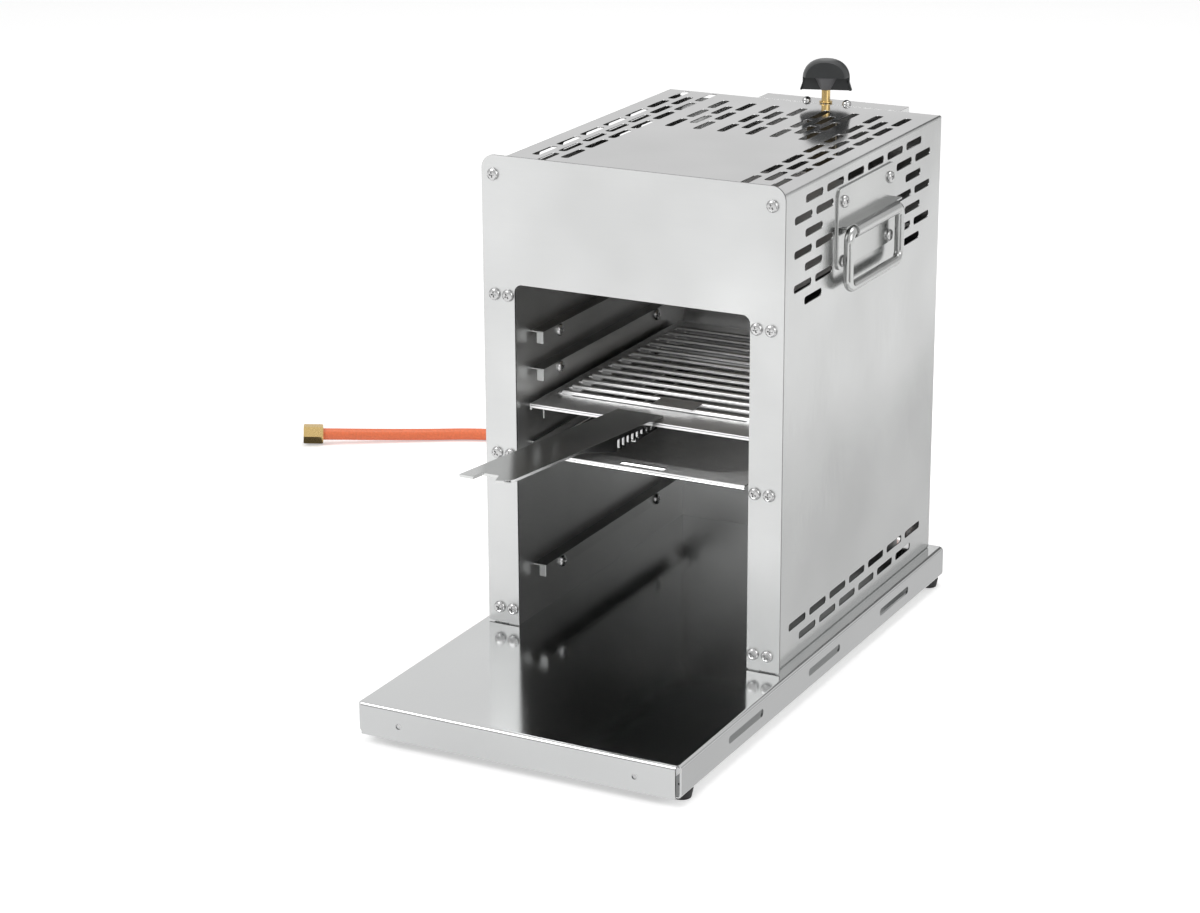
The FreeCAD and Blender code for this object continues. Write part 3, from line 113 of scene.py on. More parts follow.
class Shader:
    """A material's node tree with short calls for what the finishes share."""

    def __init__(self, name: str) -> None:
        """Start a material that has only its output and a principled shader.

        Args:
            name: The material's name.
        """
        self.material = bpy.data.materials.new(name)
        self.material.use_nodes = True
        self.tree = self.material.node_tree
        self.bsdf = next(n for n in self.tree.nodes if n.type == "BSDF_PRINCIPLED")

    def node(self, kind: str, **values: object) -> bpy.types.Node:
        """Add a node.

        Args:
            kind: The node's type.
            **values: Its properties.

        Returns:
            The node.
        """
        made = self.tree.nodes.new(kind)
        for key, value in values.items():
            setattr(made, key, value)
        return made

    def link(self, source: Socket, target: Socket) -> None:
        """Join two sockets."""
        self.tree.links.new(source, target)

    def fix(self, name: str, value: object) -> None:
        """Set one of the principled shader's values."""
        self.bsdf.inputs[name].default_value = value

    def feed(self, name: str, source: Socket) -> None:
        """Let a socket drive one of the principled shader's values."""
        self.link(source, self.bsdf.inputs[name])

    def noise(self, stretch: Sequence[float], scale: float, detail: float = 4.0) -> Socket:
        """Add noise on object coordinates.

        Args:
            stretch: Scale of the coordinates along x, y and z.
            scale: Scale of the noise itself.
            detail: Octaves of the noise.

        Returns:
            The noise's value socket.
        """
        coordinates = self.node("ShaderNodeTexCoord")
        mapping = self.node("ShaderNodeMapping")
        mapping.inputs["Scale"].default_value = tuple(stretch)
        noise = self.node("ShaderNodeTexNoise")
        noise.inputs["Scale"].default_value = scale
        noise.inputs["Detail"].default_value = detail
        self.link(coordinates.outputs["Object"], mapping.inputs["Vector"])
        self.link(mapping.outputs["Vector"], noise.inputs["Vector"])
        return noise.outputs["Fac"]

    def spread(
        self,
        value: Socket,
        low: float,
        high: float,
        start: float = 0.3,
        stop: float = 0.7,
    ) -> Socket:
        """Map a value onto a range.

        Args:
            value: The value's socket.
            low: What the start becomes.
            high: What the stop becomes.
            start: Low end of the values that count.
            stop: High end of the values that count.

        Returns:
            The mapped value's socket.
        """
        ranged = self.node("ShaderNodeMapRange")
        names = ("From Min", "From Max", "To Min", "To Max")
        for name, number in zip(names, (start, stop, low, high)):
            ranged.inputs[name].default_value = number
        self.link(value, ranged.inputs["Value"])
        return ranged.outputs["Result"]

    def blend(
        self, value: Socket, first: Sequence[float], second: Sequence[float]
    ) -> Socket:
        """Blend two colours by a value.

        Args:
            value: The value's socket.
            first: The colour at low values.
            second: The colour at high values.

        Returns:
            The colour's socket.
        """
        ramp = self.node("ShaderNodeValToRGB")
        stops = zip(ramp.color_ramp.elements, (0.35, 0.65), (first, second))
        for stop, position, colour in stops:
            stop.position = position
            stop.color = (*colour, 1.0)
        self.link(value, ramp.inputs["Fac"])
        return ramp.outputs["Color"]

    def mottled(
        self, value: Socket, tone: Sequence[float], swing: float
    ) -> Socket:
        """Blend between a darker and a lighter shade of a tone.

        Args:
            value: The value's socket.
            tone: The middle colour.
            swing: How far the shades go from it, as a share.

        Returns:
            The colour's socket.
        """
        shades = [
            tuple(min(1.0, part * (1.0 + way * swing)) for part in tone) for way in (-1.0, 1.0)
        ]
        return self.blend(value, *shades)

    def paint_top_light(
        self, tone: Socket, painted_top_tone: Socket
    ) -> Socket:
        """Paint light or shade where the surface looks up, by mixing in another tone.

        Args:
            tone: The colour of the other faces.
            painted_top_tone: The colour of the faces that look up, lighter or darker as painted light
                or shade.

        Returns:
            The mixed colour's socket.
        """
        geometry = self.node("ShaderNodeNewGeometry")
        parts = self.node("ShaderNodeSeparateXYZ")
        mixed = self.node("ShaderNodeMix", data_type="RGBA")
        colours = [socket for socket in mixed.inputs if socket.type == "RGBA"]
        self.link(geometry.outputs["True Normal"], parts.inputs["Vector"])
        self.link(self.spread(parts.outputs["Z"], 0.0, 1.0, 0.6, 0.9), mixed.inputs[0])
        self.link(tone, colours[0])
        self.link(painted_top_tone, colours[1])
        return next(socket for socket in mixed.outputs if socket.type == "RGBA")

    def bump(self, height: Socket, strength: float, distance: float) -> None:
        """Raise the surface by a value.

        Args:
            height: The value's socket.
            strength: Share of the bump that shows.
            distance: Height of the bump in metres.
        """
        bump = self.node("ShaderNodeBump")
        bump.inputs["Strength"].default_value = strength
        bump.inputs["Distance"].default_value = distance
        self.link(height, bump.inputs["Height"])
        self.feed("Normal", bump.outputs["Normal"])


@dataclass(frozen=True)
class BrushedMetal:
    """Sheet metal with fine brush lines and slow cloudy changes of tone.

    The share at the end paints light or shade on the faces that look up: it tells how bright they
    are, against the others.
    """

    name: str
    tone: tuple[float, float, float]
    grain: Grain = Grain.ALONG_Z
    roughness: float = 0.28
    roughness_swing: float = 0.05
    tone_swing: float = 0.06
    line_scale: float = 28.0
    line_depth: float = 0.00002
    painted_top_share: float = 1.0

    def make(self) -> bpy.types.Material:
        """Build the material.

        Returns:
            The material.
        """
        shader = Shader(self.name)
        shader.fix("Metallic", 1.0)
        lines = shader.noise(self.grain.value, self.line_scale, 6.0)
        clouds = shader.noise((6.0, 6.0, 6.0), 1.4, 2.0)
        tone = shader.mottled(clouds, self.tone, self.tone_swing)
        # Faces that look up get painted light or painted shade, by the share at the end.
        if self.painted_top_share != 1.0:
            painted_top_tone = tuple(part * self.painted_top_share for part in self.tone)
            tone = shader.paint_top_light(tone, shader.mottled(clouds, painted_top_tone, self.tone_swing))
        shader.feed("Base Color", tone)
        low = self.roughness - self.roughness_swing
        high = self.roughness + self.roughness_swing
        shader.feed("Roughness", shader.spread(lines, low, high))
        shader.bump(lines, 0.12, self.line_depth)
        return shader.material


@dataclass(frozen=True)
class SmoothSolid:
    """A plain solid colour with a little mottling and a fine surface texture."""

    name: str
    tone: tuple[float, float, float]
    roughness: float = 0.4
    roughness_swing: float = 0.03
    specular: float = 0.5
    mottle: float = 0.08
    texture_scale: float = 900.0
    texture_depth: float = 0.00005

    def make(self) -> bpy.types.Material:
        """Build the material.

        Returns:
            The material.
        """
        shader = Shader(self.name)
        shader.fix("Specular IOR Level", self.specular)
        clouds = shader.noise((1.0, 1.0, 1.0), 60.0, 3.0)
        grit = shader.noise((1.0, 1.0, 1.0), self.texture_scale, 2.0)
        shader.feed("Base Color", shader.mottled(clouds, self.tone, self.mottle))
        low, high = self.roughness - self.roughness_swing, self.roughness + self.roughness_swing
        shader.feed("Roughness", shader.spread(clouds, low, high))
        shader.bump(grit, 0.15, self.texture_depth)
        return shader.material


@dataclass(frozen=True)
class HoleyCeramic:
    """Pale burner tile with a field of small round flame holes, drawn only in colour and bump; their
    dark tone is painted shade.
    """

    name: str = "burner_ceramic"
    tone: tuple[float, float, float] = (0.80, 0.74, 0.64)
    painted_hole_shade: tuple[float, float, float] = (0.16, 0.12, 0.10)
    hole_pitch: float = 0.0028
    hole_share: float = 0.3

    def make(self) -> bpy.types.Material:
        """Build the material.

        Returns:
            The material.
        """
        shader = Shader(self.name)
        shader.fix("Roughness", 0.85)
        coordinates = shader.node("ShaderNodeTexCoord")
        cells = shader.node("ShaderNodeTexVoronoi", voronoi_dimensions="2D")
        cells.inputs["Scale"].default_value = 1.0 / self.hole_pitch
        cells.inputs["Randomness"].default_value = 0.0
        shader.link(coordinates.outputs["Object"], cells.inputs["Vector"])
        edge = shader.node("ShaderNodeMath", operation="GREATER_THAN")
        edge.inputs[1].default_value = self.hole_share
        shader.link(cells.outputs["Distance"], edge.inputs[0])
        # The holes get a dark tone: painted shade inside them.
        tone = shader.blend(edge.outputs["Value"], self.painted_hole_shade, self.tone)
        shader.feed("Base Color", tone)
        shader.bump(edge.outputs["Value"], 0.6, 0.0006)
        return shader.material


@dataclass(frozen=True)
class HoseRubber:
    """Orange-red gas hose with a faint lengthwise gloss."""

    name: str = "hose_rubber"
    tone: tuple[float, float, float] = (0.93, 0.215, 0.085)

    def make(self) -> bpy.types.Material:
        """Build the material.

        Returns:
            The material.
        """
        shader = Shader(self.name)
        shader.fix("Roughness", 0.38)
        weave = shader.noise((1.0, 1.0, 1.0), 500.0, 3.0)
        dark = tuple(part * 0.88 for part in self.tone)
        shader.feed("Base Color", shader.blend(weave, dark, self.tone))
        shader.bump(weave, 0.12, 0.00008)
        return shader.material


class Finish(Enum):
    """The finishes of the grill's pieces."""

    FACE_SHEET = BrushedMetal("brushed_face", (0.575, 0.58, 0.578), Grain.ALONG_X, 0.34)
    SIDE_SHEET = BrushedMetal("brushed_side", (0.49, 0.495, 0.492), Grain.ALONG_Z, 0.20)
    ROOF_SHEET = BrushedMetal("brushed_roof", (0.62, 0.62, 0.62), Grain.ALONG_Y, 0.11, 0.02)
    # The deck's upward faces get painted light: they are brighter than its other faces.
    DECK_SHEET = BrushedMetal(
        "brushed_deck", (0.47, 0.475, 0.475), Grain.ALONG_X, 0.12, 0.02, 0.02, painted_top_share=1.58
    )
    CHAMBER_SHEET = BrushedMetal("chamber_sheet", (0.60, 0.605, 0.60), Grain.ALONG_Y, 0.36)
    BACK_SHEET = BrushedMetal("chamber_back_sheet", (0.82, 0.82, 0.82), Grain.ALONG_X, 0.36)
    # The rails' upward faces get painted shade: a dark band along their tops.
    RAIL_SHEET = BrushedMetal("rail_sheet", (0.58, 0.585, 0.58), Grain.ALONG_Y, 0.34, painted_top_share=0.4)
    GRATE_SHEET = BrushedMetal("grate_sheet", (0.95, 0.95, 0.95), Grain.ALONG_X, 0.38)
    LIFTER_SHEET = BrushedMetal("lifter_sheet", (0.56, 0.565, 0.56), Grain.ALONG_Y, 0.16, 0.03)
    PAN_SHEET = BrushedMetal("pan_sheet", (0.78, 0.78, 0.78), Grain.ALONG_X, 0.24)
    # Painted shade for the fascia's edge faces: a dark line along its edges.
    EDGE_SHADE = BrushedMetal("painted_edge_shade", (0.22, 0.22, 0.22), Grain.ALONG_Z, 0.4)
    # Painted shade: a near-black finish for the pan's lower face and its slot's wall.
    PAN_UNDER_SHADE = BrushedMetal("pan_painted_shade", (0.10, 0.10, 0.10), Grain.ALONG_X, 0.45)
    ROD_STEEL = BrushedMetal("rod_steel", (0.94, 0.94, 0.94), Grain.ALONG_X, 0.40, 0.04)
    BRIGHT_STEEL = BrushedMetal("bright_steel", (0.74, 0.74, 0.74), Grain.NONE, 0.18, 0.03)
    HANDLE_STEEL = BrushedMetal("handle_steel", (0.47, 0.475, 0.47), Grain.ALONG_Y, 0.20, 0.04)
    SCREW_STEEL = BrushedMetal("screw_steel", (0.50, 0.50, 0.50), Grain.NONE, 0.22, 0.04)
    DULL_STEEL = BrushedMetal("dull_steel", (0.34, 0.32, 0.30), Grain.ALONG_Y, 0.42)
    BRASS = BrushedMetal("turned_brass", (0.72, 0.52, 0.22), Grain.ALONG_Z, 0.28, 0.05)
    DARK_BRASS = BrushedMetal("dark_brass", (0.20, 0.17, 0.12), Grain.ALONG_Z, 0.45, 0.05)
    KNOB_PLASTIC = SmoothSolid("knob_plastic", (0.028, 0.030, 0.031), 0.32)
    HUB_PLASTIC = SmoothSolid("hub_plastic", (0.115, 0.115, 0.12), 0.4)
    FOOT_RUBBER = SmoothSolid("foot_rubber", (0.020, 0.020, 0.021), 0.7)
    CERAMIC = HoleyCeramic()
    HOSE = HoseRubber()

    def material(self) -> bpy.types.Material:
        """Give the finish's material, made on first use."""
        return bpy.data.materials.get(self.value.name) or self.value.make()


def loop_box(
    u0: float, u1: float, v0: float, v1: float, radius: float = 0.0, steps: int = 5
) -> list[Point]:
    """Give a rectangle with rounded corners, anticlockwise.

    Args:
        u0: Low edge across.
        u1: High edge across.
        v0: Low edge up.
        v1: High edge up.
        radius: Corner radius, or nought for square corners.
        steps: Pieces of each corner's arc.

    Returns:
        The outline's points.
    """
    if radius <= 0.0:
        return [(u0, v0), (u1, v0), (u1, v1), (u0, v1)]
    points = []
    corners = ((u1, v0, -90.0), (u1, v1, 0.0), (u0, v1, 90.0), (u0, v0, 180.0))
    for u, v, start in corners:
        middle_u = u - radius if u == u1 else u + radius
        middle_v = v - radius if v == v1 else v + radius
        for step in range(steps + 1):
            angle = math.radians(start + 90.0 * step / steps)
            points.append((middle_u + radius * math.cos(angle), middle_v + radius * math.sin(angle)))
    return points


def loop_circle(u: float, v: float, radius: float, steps: int = 20) -> list[Point]:
    """Give a circle's points, anticlockwise."""
    angles = [2.0 * math.pi * step / steps for step in range(steps)]
    return [(u + radius * math.cos(a), v + radius * math.sin(a)) for a in angles]


def arc(
    middle: Point, radius: float, start: float, turn: float, steps: int
) -> list[Point]:
    """Give the points of an arc.

    Args:
        middle: Its centre.
        radius: Its radius.
        start: Angle of its first point in radians.
        turn: Angle from there to its last point, less than nought for clockwise.
        steps: Pieces of the arc.

    Returns:
        The points, both ends included.
    """
    angles = [start + turn * step / steps for step in range(steps + 1)]
    return [(middle[0] + radius * math.cos(a), middle[1] + radius * math.sin(a)) for a in angles]


def inset(loop: Sequence[Point], depth: float) -> list[Point]:
    """Move a loop into its material, which lies on the left of its travel.

    Args:
        loop: The outline, or a hole's outline the other way round.
        depth: How far it moves.

    Returns:
        The moved loop.
    """
    moved = []
    count = len(loop)
    for index, (u, v) in enumerate(loop):
        before, after = loop[index - 1], loop[(index + 1) % count]
        first = Vector((u - before[0], v - before[1])).normalized()
        second = Vector((after[0] - u, after[1] - v)).normalized()
        normal = Vector((-(first.y + second.y), first.x + second.x))
        if normal.length < 1e-9:
            moved.append((u, v))
            continue
        normal.normalize()
        spread = max(0.35, normal.dot(Vector((-first.y, first.x))))
        moved.append((u + normal.x * depth / spread, v + normal.y * depth / spread))
    return moved


def area(loop: Sequence[Point]) -> float:
    """Give a loop's signed area."""
    pairs = zip(loop, list(loop[1:]) + [loop[0]])
    return sum(a[0] * b[1] - b[0] * a[1] for a, b in pairs) / 2.0


def own_axes(u: float, v: float, w: float) -> Vector:
    """Place a template's point in millimetres in its own axes."""
    return Vector((u, v, w)) * MM


def along(start: Vector, way: Vector) -> Place:
    """Give the function that places a turned part with its axis along a way.

    Args:
        start: Where its height is nought.
        way: The axis's direction.

    Returns:
        The function of the part's own three measures.
    """
    turn = way.normalized().to_track_quat("Z", "Y").to_matrix()
    return lambda u, v, w: start + turn @ Vector((u, v, w)) * MM


def new_object(
    name: str, data: bpy.types.Mesh | bpy.types.Curve | bpy.types.Light | bpy.types.Camera
) -> Piece:
    """Link a new object.

    Args:
        name: The object's name.
        data: What it shows.

    Returns:
        The object.
    """
    made = bpy.data.objects.new(name, data)
    bpy.context.scene.collection.objects.link(made)
    return made


def shade(mesh: bpy.types.Mesh, angle: float) -> None:
    """Shade a mesh smooth where its faces meet at less than an angle in degrees."""
    mesh.shade_smooth()
    mesh.set_sharp_from_angle(angle=math.radians(angle))


def bridge(
    work: Work, low: Sequence[Corner], high: Sequence[Corner]
) -> list[Face]:
    """Join two rings of as many points with a band of faces.

    Args:
        work: The mesh to add to.
        low: The first ring.
        high: The second ring.

    Returns:
        The band's faces.
    """
    count = len(low)
    pairs = [(index, (index + 1) % count) for index in range(count)]
    return [work.faces.new((low[a], low[b], high[b], high[a])) for a, b in pairs]


def fill(
    work: Work,
    corners: Sequence[Corner],
    triangles: Iterable[Sequence[int]],
) -> list[Face]:
    """Add a face for each three of the corners' numbers."""
    return [work.faces.new([corners[index] for index in triangle]) for triangle in triangles]


def solid(name: str, work: Work, smooth: float = 30.0) -> Piece:
    """Turn finished bmesh work into an object.

    Args:
        name: The piece's name.
        work: The mesh work, which is freed.
        smooth: Angle in degrees under which edges are shaded smooth.

    Returns:
        The new object.
    """
    bmesh.ops.recalc_face_normals(work, faces=work.faces[:])
    mesh = bpy.data.meshes.new(name)
    work.to_mesh(mesh)
    work.free()
    shade(mesh, smooth)
    return new_object(name, mesh)


def add_sheet(
    work: Work,
    loops: Sequence[Sequence[Point]],
    thickness: float,
    place: Place,
    edge: float = 0.2,
) -> None:
    """Add a flat sheet with holes and eased edges.

    Args:
        work: The mesh to add to.
        loops: The outline and then the holes, in either direction.
        thickness: Sheet thickness, from w nought upwards.
        place: Puts a drawing's point into the model.
        edge: Width of the eased edge.
    """
    turned = [
        list(loop) if (area(loop) > 0) == (n == 0) else list(loop)[::-1]
        for n, loop in enumerate(loops)
    ]
    rings = []
    for level, depth in ((0.0, edge), (edge, 0.0), (thickness - edge, 0.0), (thickness, edge)):
        ring = []
        for loop in turned:
            points = inset(loop, depth) if depth else loop
            ring.append([work.verts.new(place(u, v, level)) for u, v in points])
        rings.append(ring)
    for low, high in zip(rings, rings[1:]):
        for one, two in zip(low, high):
            bridge(work, one, two)
    flat = [[Vector((u, v, 0.0)) for u, v in inset(loop, edge)] for loop in turned]
    triangles = tessellate_polygon(flat)
    for ring in (rings[0], rings[-1]):
        fill(work, [vertex for loop in ring for vertex in loop], triangles)


def sheet(
    name: str,
    loops: Sequence[Sequence[Point]],
    thickness: float,
    place: Place,
    edge: float = 0.2,
) -> Piece:
    """Make one flat sheet as an object.

    Args:
        name: The piece's name.
        loops: The outline and then the holes, in either direction.
        thickness: Sheet thickness, from w nought upwards.
        place: Puts a drawing's point into the model.
        edge: Width of the eased edge.

    Returns:
        The new piece.
    """
    work = bmesh.new()
    add_sheet(work, loops, thickness, place, edge)
    return solid(name, work)


def lathe(name: str, profile: Sequence[Point], place: Place, steps: int = 48) -> Piece:
    """Make a turned solid.

    Args:
        name: The piece's name.
        profile: Points of radius and height, from axis to axis.
        place: Puts the solid's own measures into the model.
        steps: Flats round it.

    Returns:
        The new piece.
    """
    work = bmesh.new()
    rings = []
    for radius, height in profile:
        circle = loop_circle(0.0, 0.0, radius, steps) if radius > 0.0 else [(0.0, 0.0)]
        rings.append([work.verts.new(place(u, v, height)) for u, v in circle])
    for low, high in zip(rings, rings[1:]):
        if len(low) > 1 and len(high) > 1:
            bridge(work, low, high)
        elif len(high) > 1:
            for index in range(steps):
                work.faces.new((low[0], high[(index + 1) % steps], high[index]))
        elif len(low) > 1:
            for index in range(steps):
                work.faces.new((low[index], low[(index + 1) % steps], high[0]))
    return solid(name, work, 35.0)


def eased(
    node: str,
    name: str,
    width: float = 0.25,
    smooth: float = 28.0,
    cutter: Optional[Piece] = None,
) -> Piece:
    """Copy a CAD node's mesh, merge it and ease its sharp edges.

    Args:
        node: The CAD node.
        name: The new piece's name.
        width: Width of the eased edges in millimetres, or nought to leave them.
        smooth: Angle in degrees under which faces are shaded as one curve.
        cutter: What is cut out of the copy first.

    Returns:
        The new piece.
    """
    work = bmesh.new()
    work.from_mesh(bpy.data.objects[node].data)
    bmesh.ops.remove_doubles(work, verts=work.verts[:], dist=2e-6)
    bmesh.ops.dissolve_limit(
        work, angle_limit=math.radians(0.5), verts=work.verts[:], edges=work.edges[:]
    )
    mesh = bpy.data.meshes.new(name)
    work.to_mesh(mesh)
    work.free()
    piece = new_object(name, mesh)
    if cutter is not None:
        cut_away(piece, cutter)
    if width > 0.0:
        bevel = piece.modifiers.new("eased_edges", "BEVEL")
        bevel.width = width * MM
        bevel.segments = 2
        bevel.limit_method = "ANGLE"
        bevel.angle_limit = math.radians(40.0)
        bevel.use_clamp_overlap = True
        bake(piece)
    shade(piece.data, smooth)
    steady = piece.modifiers.new("flat_faces", "WEIGHTED_NORMAL")
    steady.mode = "FACE_AREA"
    steady.weight = 80
    steady.keep_sharp = True
    bake(piece)
    return piece


def applied(piece: Piece) -> bpy.types.Mesh:
    """Give an object's evaluated shape as a plain mesh.

    Args:
        piece: The object.

    Returns:
        The mesh.
    """
    graph = bpy.context.evaluated_depsgraph_get()
    graph.update()
    return bpy.data.meshes.new_from_object(piece.evaluated_get(graph))


def bake(piece: Piece) -> None:
    """Apply a piece's modifiers to its mesh."""
    piece.data = applied(piece)
    piece.modifiers.clear()


def cut_away(piece: Piece, cutter: Piece, smooth: float = 35.0) -> None:
    """Cut one closed piece out of another and take the cutter away.

    Args:
        piece: The piece that is cut.
        cutter: What is cut out of it.
        smooth: Angle in degrees under which edges are shaded smooth.
    """
    cut = piece.modifiers.new("cut", "BOOLEAN")
    cut.operation = "DIFFERENCE"
    cut.solver = "EXACT"
    cut.object = cutter
    bake(piece)
    bpy.data.objects.remove(cutter)
    shade(piece.data, smooth)


def dress(
    piece: Piece,
    finish: Finish,
    body: str = HOUSING,
    replaces: Iterable[str] = (),
) -> Piece:
    """Give a piece its material and its place in the machine.

    Args:
        piece: The finished piece.
        finish: Its finish.
        body: The body that it moves with.
        replaces: The CAD nodes that it stands for.

    Returns:
        The piece.
    """
    piece.data.materials.clear()
    piece.data.materials.append(finish.material())
    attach(piece, body)
    nodes = list(replaces)
    if nodes:
        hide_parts(*nodes)
    LOG.info("%s: %s on %s", piece.name, finish.value.name, body)
    return piece


def dress_copy(
    node: str,
    name: str,
    width: float,
    finish: Finish,
    body: str = HOUSING,
    smooth: float = 28.0,
    cutter: Optional[Piece] = None,
) -> Piece:
    """Dress an eased copy of a CAD node, which stands for the node.

    Args:
        node: The CAD node.
        name: The new piece's name.
        width: Width of the eased edges in millimetres, or nought to leave them.
        finish: The copy's finish.
        body: The body that it moves with.
        smooth: Angle in degrees under which faces are shaded as one curve.
        cutter: What is cut out of the copy first.

    Returns:
        The new piece.
    """
    return dress(eased(node, name, width, smooth, cutter), finish, body, [node])


class Repeat:
    """A Geometry Nodes tree that puts one template on many points."""

    def __init__(self, name: str) -> None:
        """Build the tree: points, an instance turned by a fixed seed, plain mesh, material.

        Args:
            name: The tree's name.
        """
        self.tree = bpy.data.node_groups.new(name, "GeometryNodeTree")
        face = self.tree.interface
        kinds = (
            ("Points", "Geometry"), ("Template", "Object"), ("Facing", "Vector"),
            ("Spin", "Float"), ("Seed", "Int"), ("Material", "Material"),
        )
        self.inputs = {
            key: face.new_socket(key, in_out="INPUT", socket_type="NodeSocket" + kind).identifier
            for key, kind in kinds
        }
        face.new_socket("Pieces", in_out="OUTPUT", socket_type="NodeSocketGeometry")
        nodes = self.tree.nodes
        given = nodes.new("NodeGroupInput").outputs
        points = nodes.new("GeometryNodeMeshToPoints")
        info = nodes.new("GeometryNodeObjectInfo")
        amount = nodes.new("FunctionNodeRandomValue")
        amount.data_type = "FLOAT"
        axis = nodes.new("FunctionNodeAxisAngleToRotation")
        axis.inputs["Axis"].default_value = (0.0, 0.0, 1.0)
        euler = nodes.new("FunctionNodeEulerToRotation")
        turn = nodes.new("FunctionNodeRotateRotation")
        turn.rotation_space = "LOCAL"
        copies = nodes.new("GeometryNodeInstanceOnPoints")
        plain = nodes.new("GeometryNodeRealizeInstances")
        paint = nodes.new("GeometryNodeSetMaterial")
        result = nodes.new("NodeGroupOutput")
        low = next(s for s in amount.inputs if s.name == "Min" and s.type == "VALUE")
        high = next(s for s in amount.inputs if s.name == "Max" and s.type == "VALUE")
        low.default_value = 0.0
        for source, target in (
            (given["Points"], points.inputs["Mesh"]),
            (given["Template"], info.inputs["Object"]),
            (given["Spin"], high),
            (given["Seed"], amount.inputs["Seed"]),
            (next(s for s in amount.outputs if s.type == "VALUE"), axis.inputs["Angle"]),
            (given["Facing"], euler.inputs["Euler"]),
            (euler.outputs["Rotation"], turn.inputs["Rotation"]),
            (axis.outputs["Rotation"], turn.inputs["Rotate By"]),
            (points.outputs["Points"], copies.inputs["Points"]),
            (info.outputs["Geometry"], copies.inputs["Instance"]),
            (turn.outputs["Rotation"], copies.inputs["Rotation"]),
            (copies.outputs["Instances"], plain.inputs["Geometry"]),
            (plain.outputs["Geometry"], paint.inputs["Geometry"]),
            (given["Material"], paint.inputs["Material"]),
            (paint.outputs["Geometry"], result.inputs["Pieces"]),
        ):
            self.tree.links.new(source, target)

    def make(
        self,
        name: str,
        template: Piece,
        places: Sequence[Vector],
        facing: Sequence[float],
        finish: Finish,
        spin: float = 2.0 * math.pi,
        seed: int = 7,
    ) -> Piece:
        """Make one plain mesh of all copies.

        Args:
            name: The piece's name.
            template: The object to repeat, its own +Z facing out.
            places: Where the copies stand.
            facing: Rotation in radians about x, y and z that turns +Z to the outside.
            finish: The copies' finish.
            spin: Largest turn about the copy's own axis.
            seed: Seed of the turns.

        Returns:
            The new piece.
        """
        mesh = bpy.data.meshes.new(name + "_points")
        mesh.from_pydata([tuple(place) for place in places], [], [])
        holder = new_object(name + "_points", mesh)
        modifier = holder.modifiers.new("repeat", "NODES")
        modifier.node_group = self.tree
        values = {
            "Template": template, "Facing": tuple(facing), "Spin": spin, "Seed": seed,
            "Material": finish.material(),
        }
        for key, value in values.items():
            modifier[self.inputs[key]] = value
        holder.update_tag()
        result = applied(holder)
        result.name = name
        holder.modifiers.clear()
        bpy.data.objects.remove(holder)
        shade(result, 35.0)
        return new_object(name, result)


FACING_FRONT = (math.pi / 2.0, 0.0, 0.0)
FACING_BACK = (-math.pi / 2.0, 0.0, 0.0)
FACING_RIGHT = (0.0, math.pi / 2.0, 0.0)
FACING_LEFT = (0.0, -math.pi / 2.0, 0.0)
FACING_UP = (0.0, 0.0, 0.0)


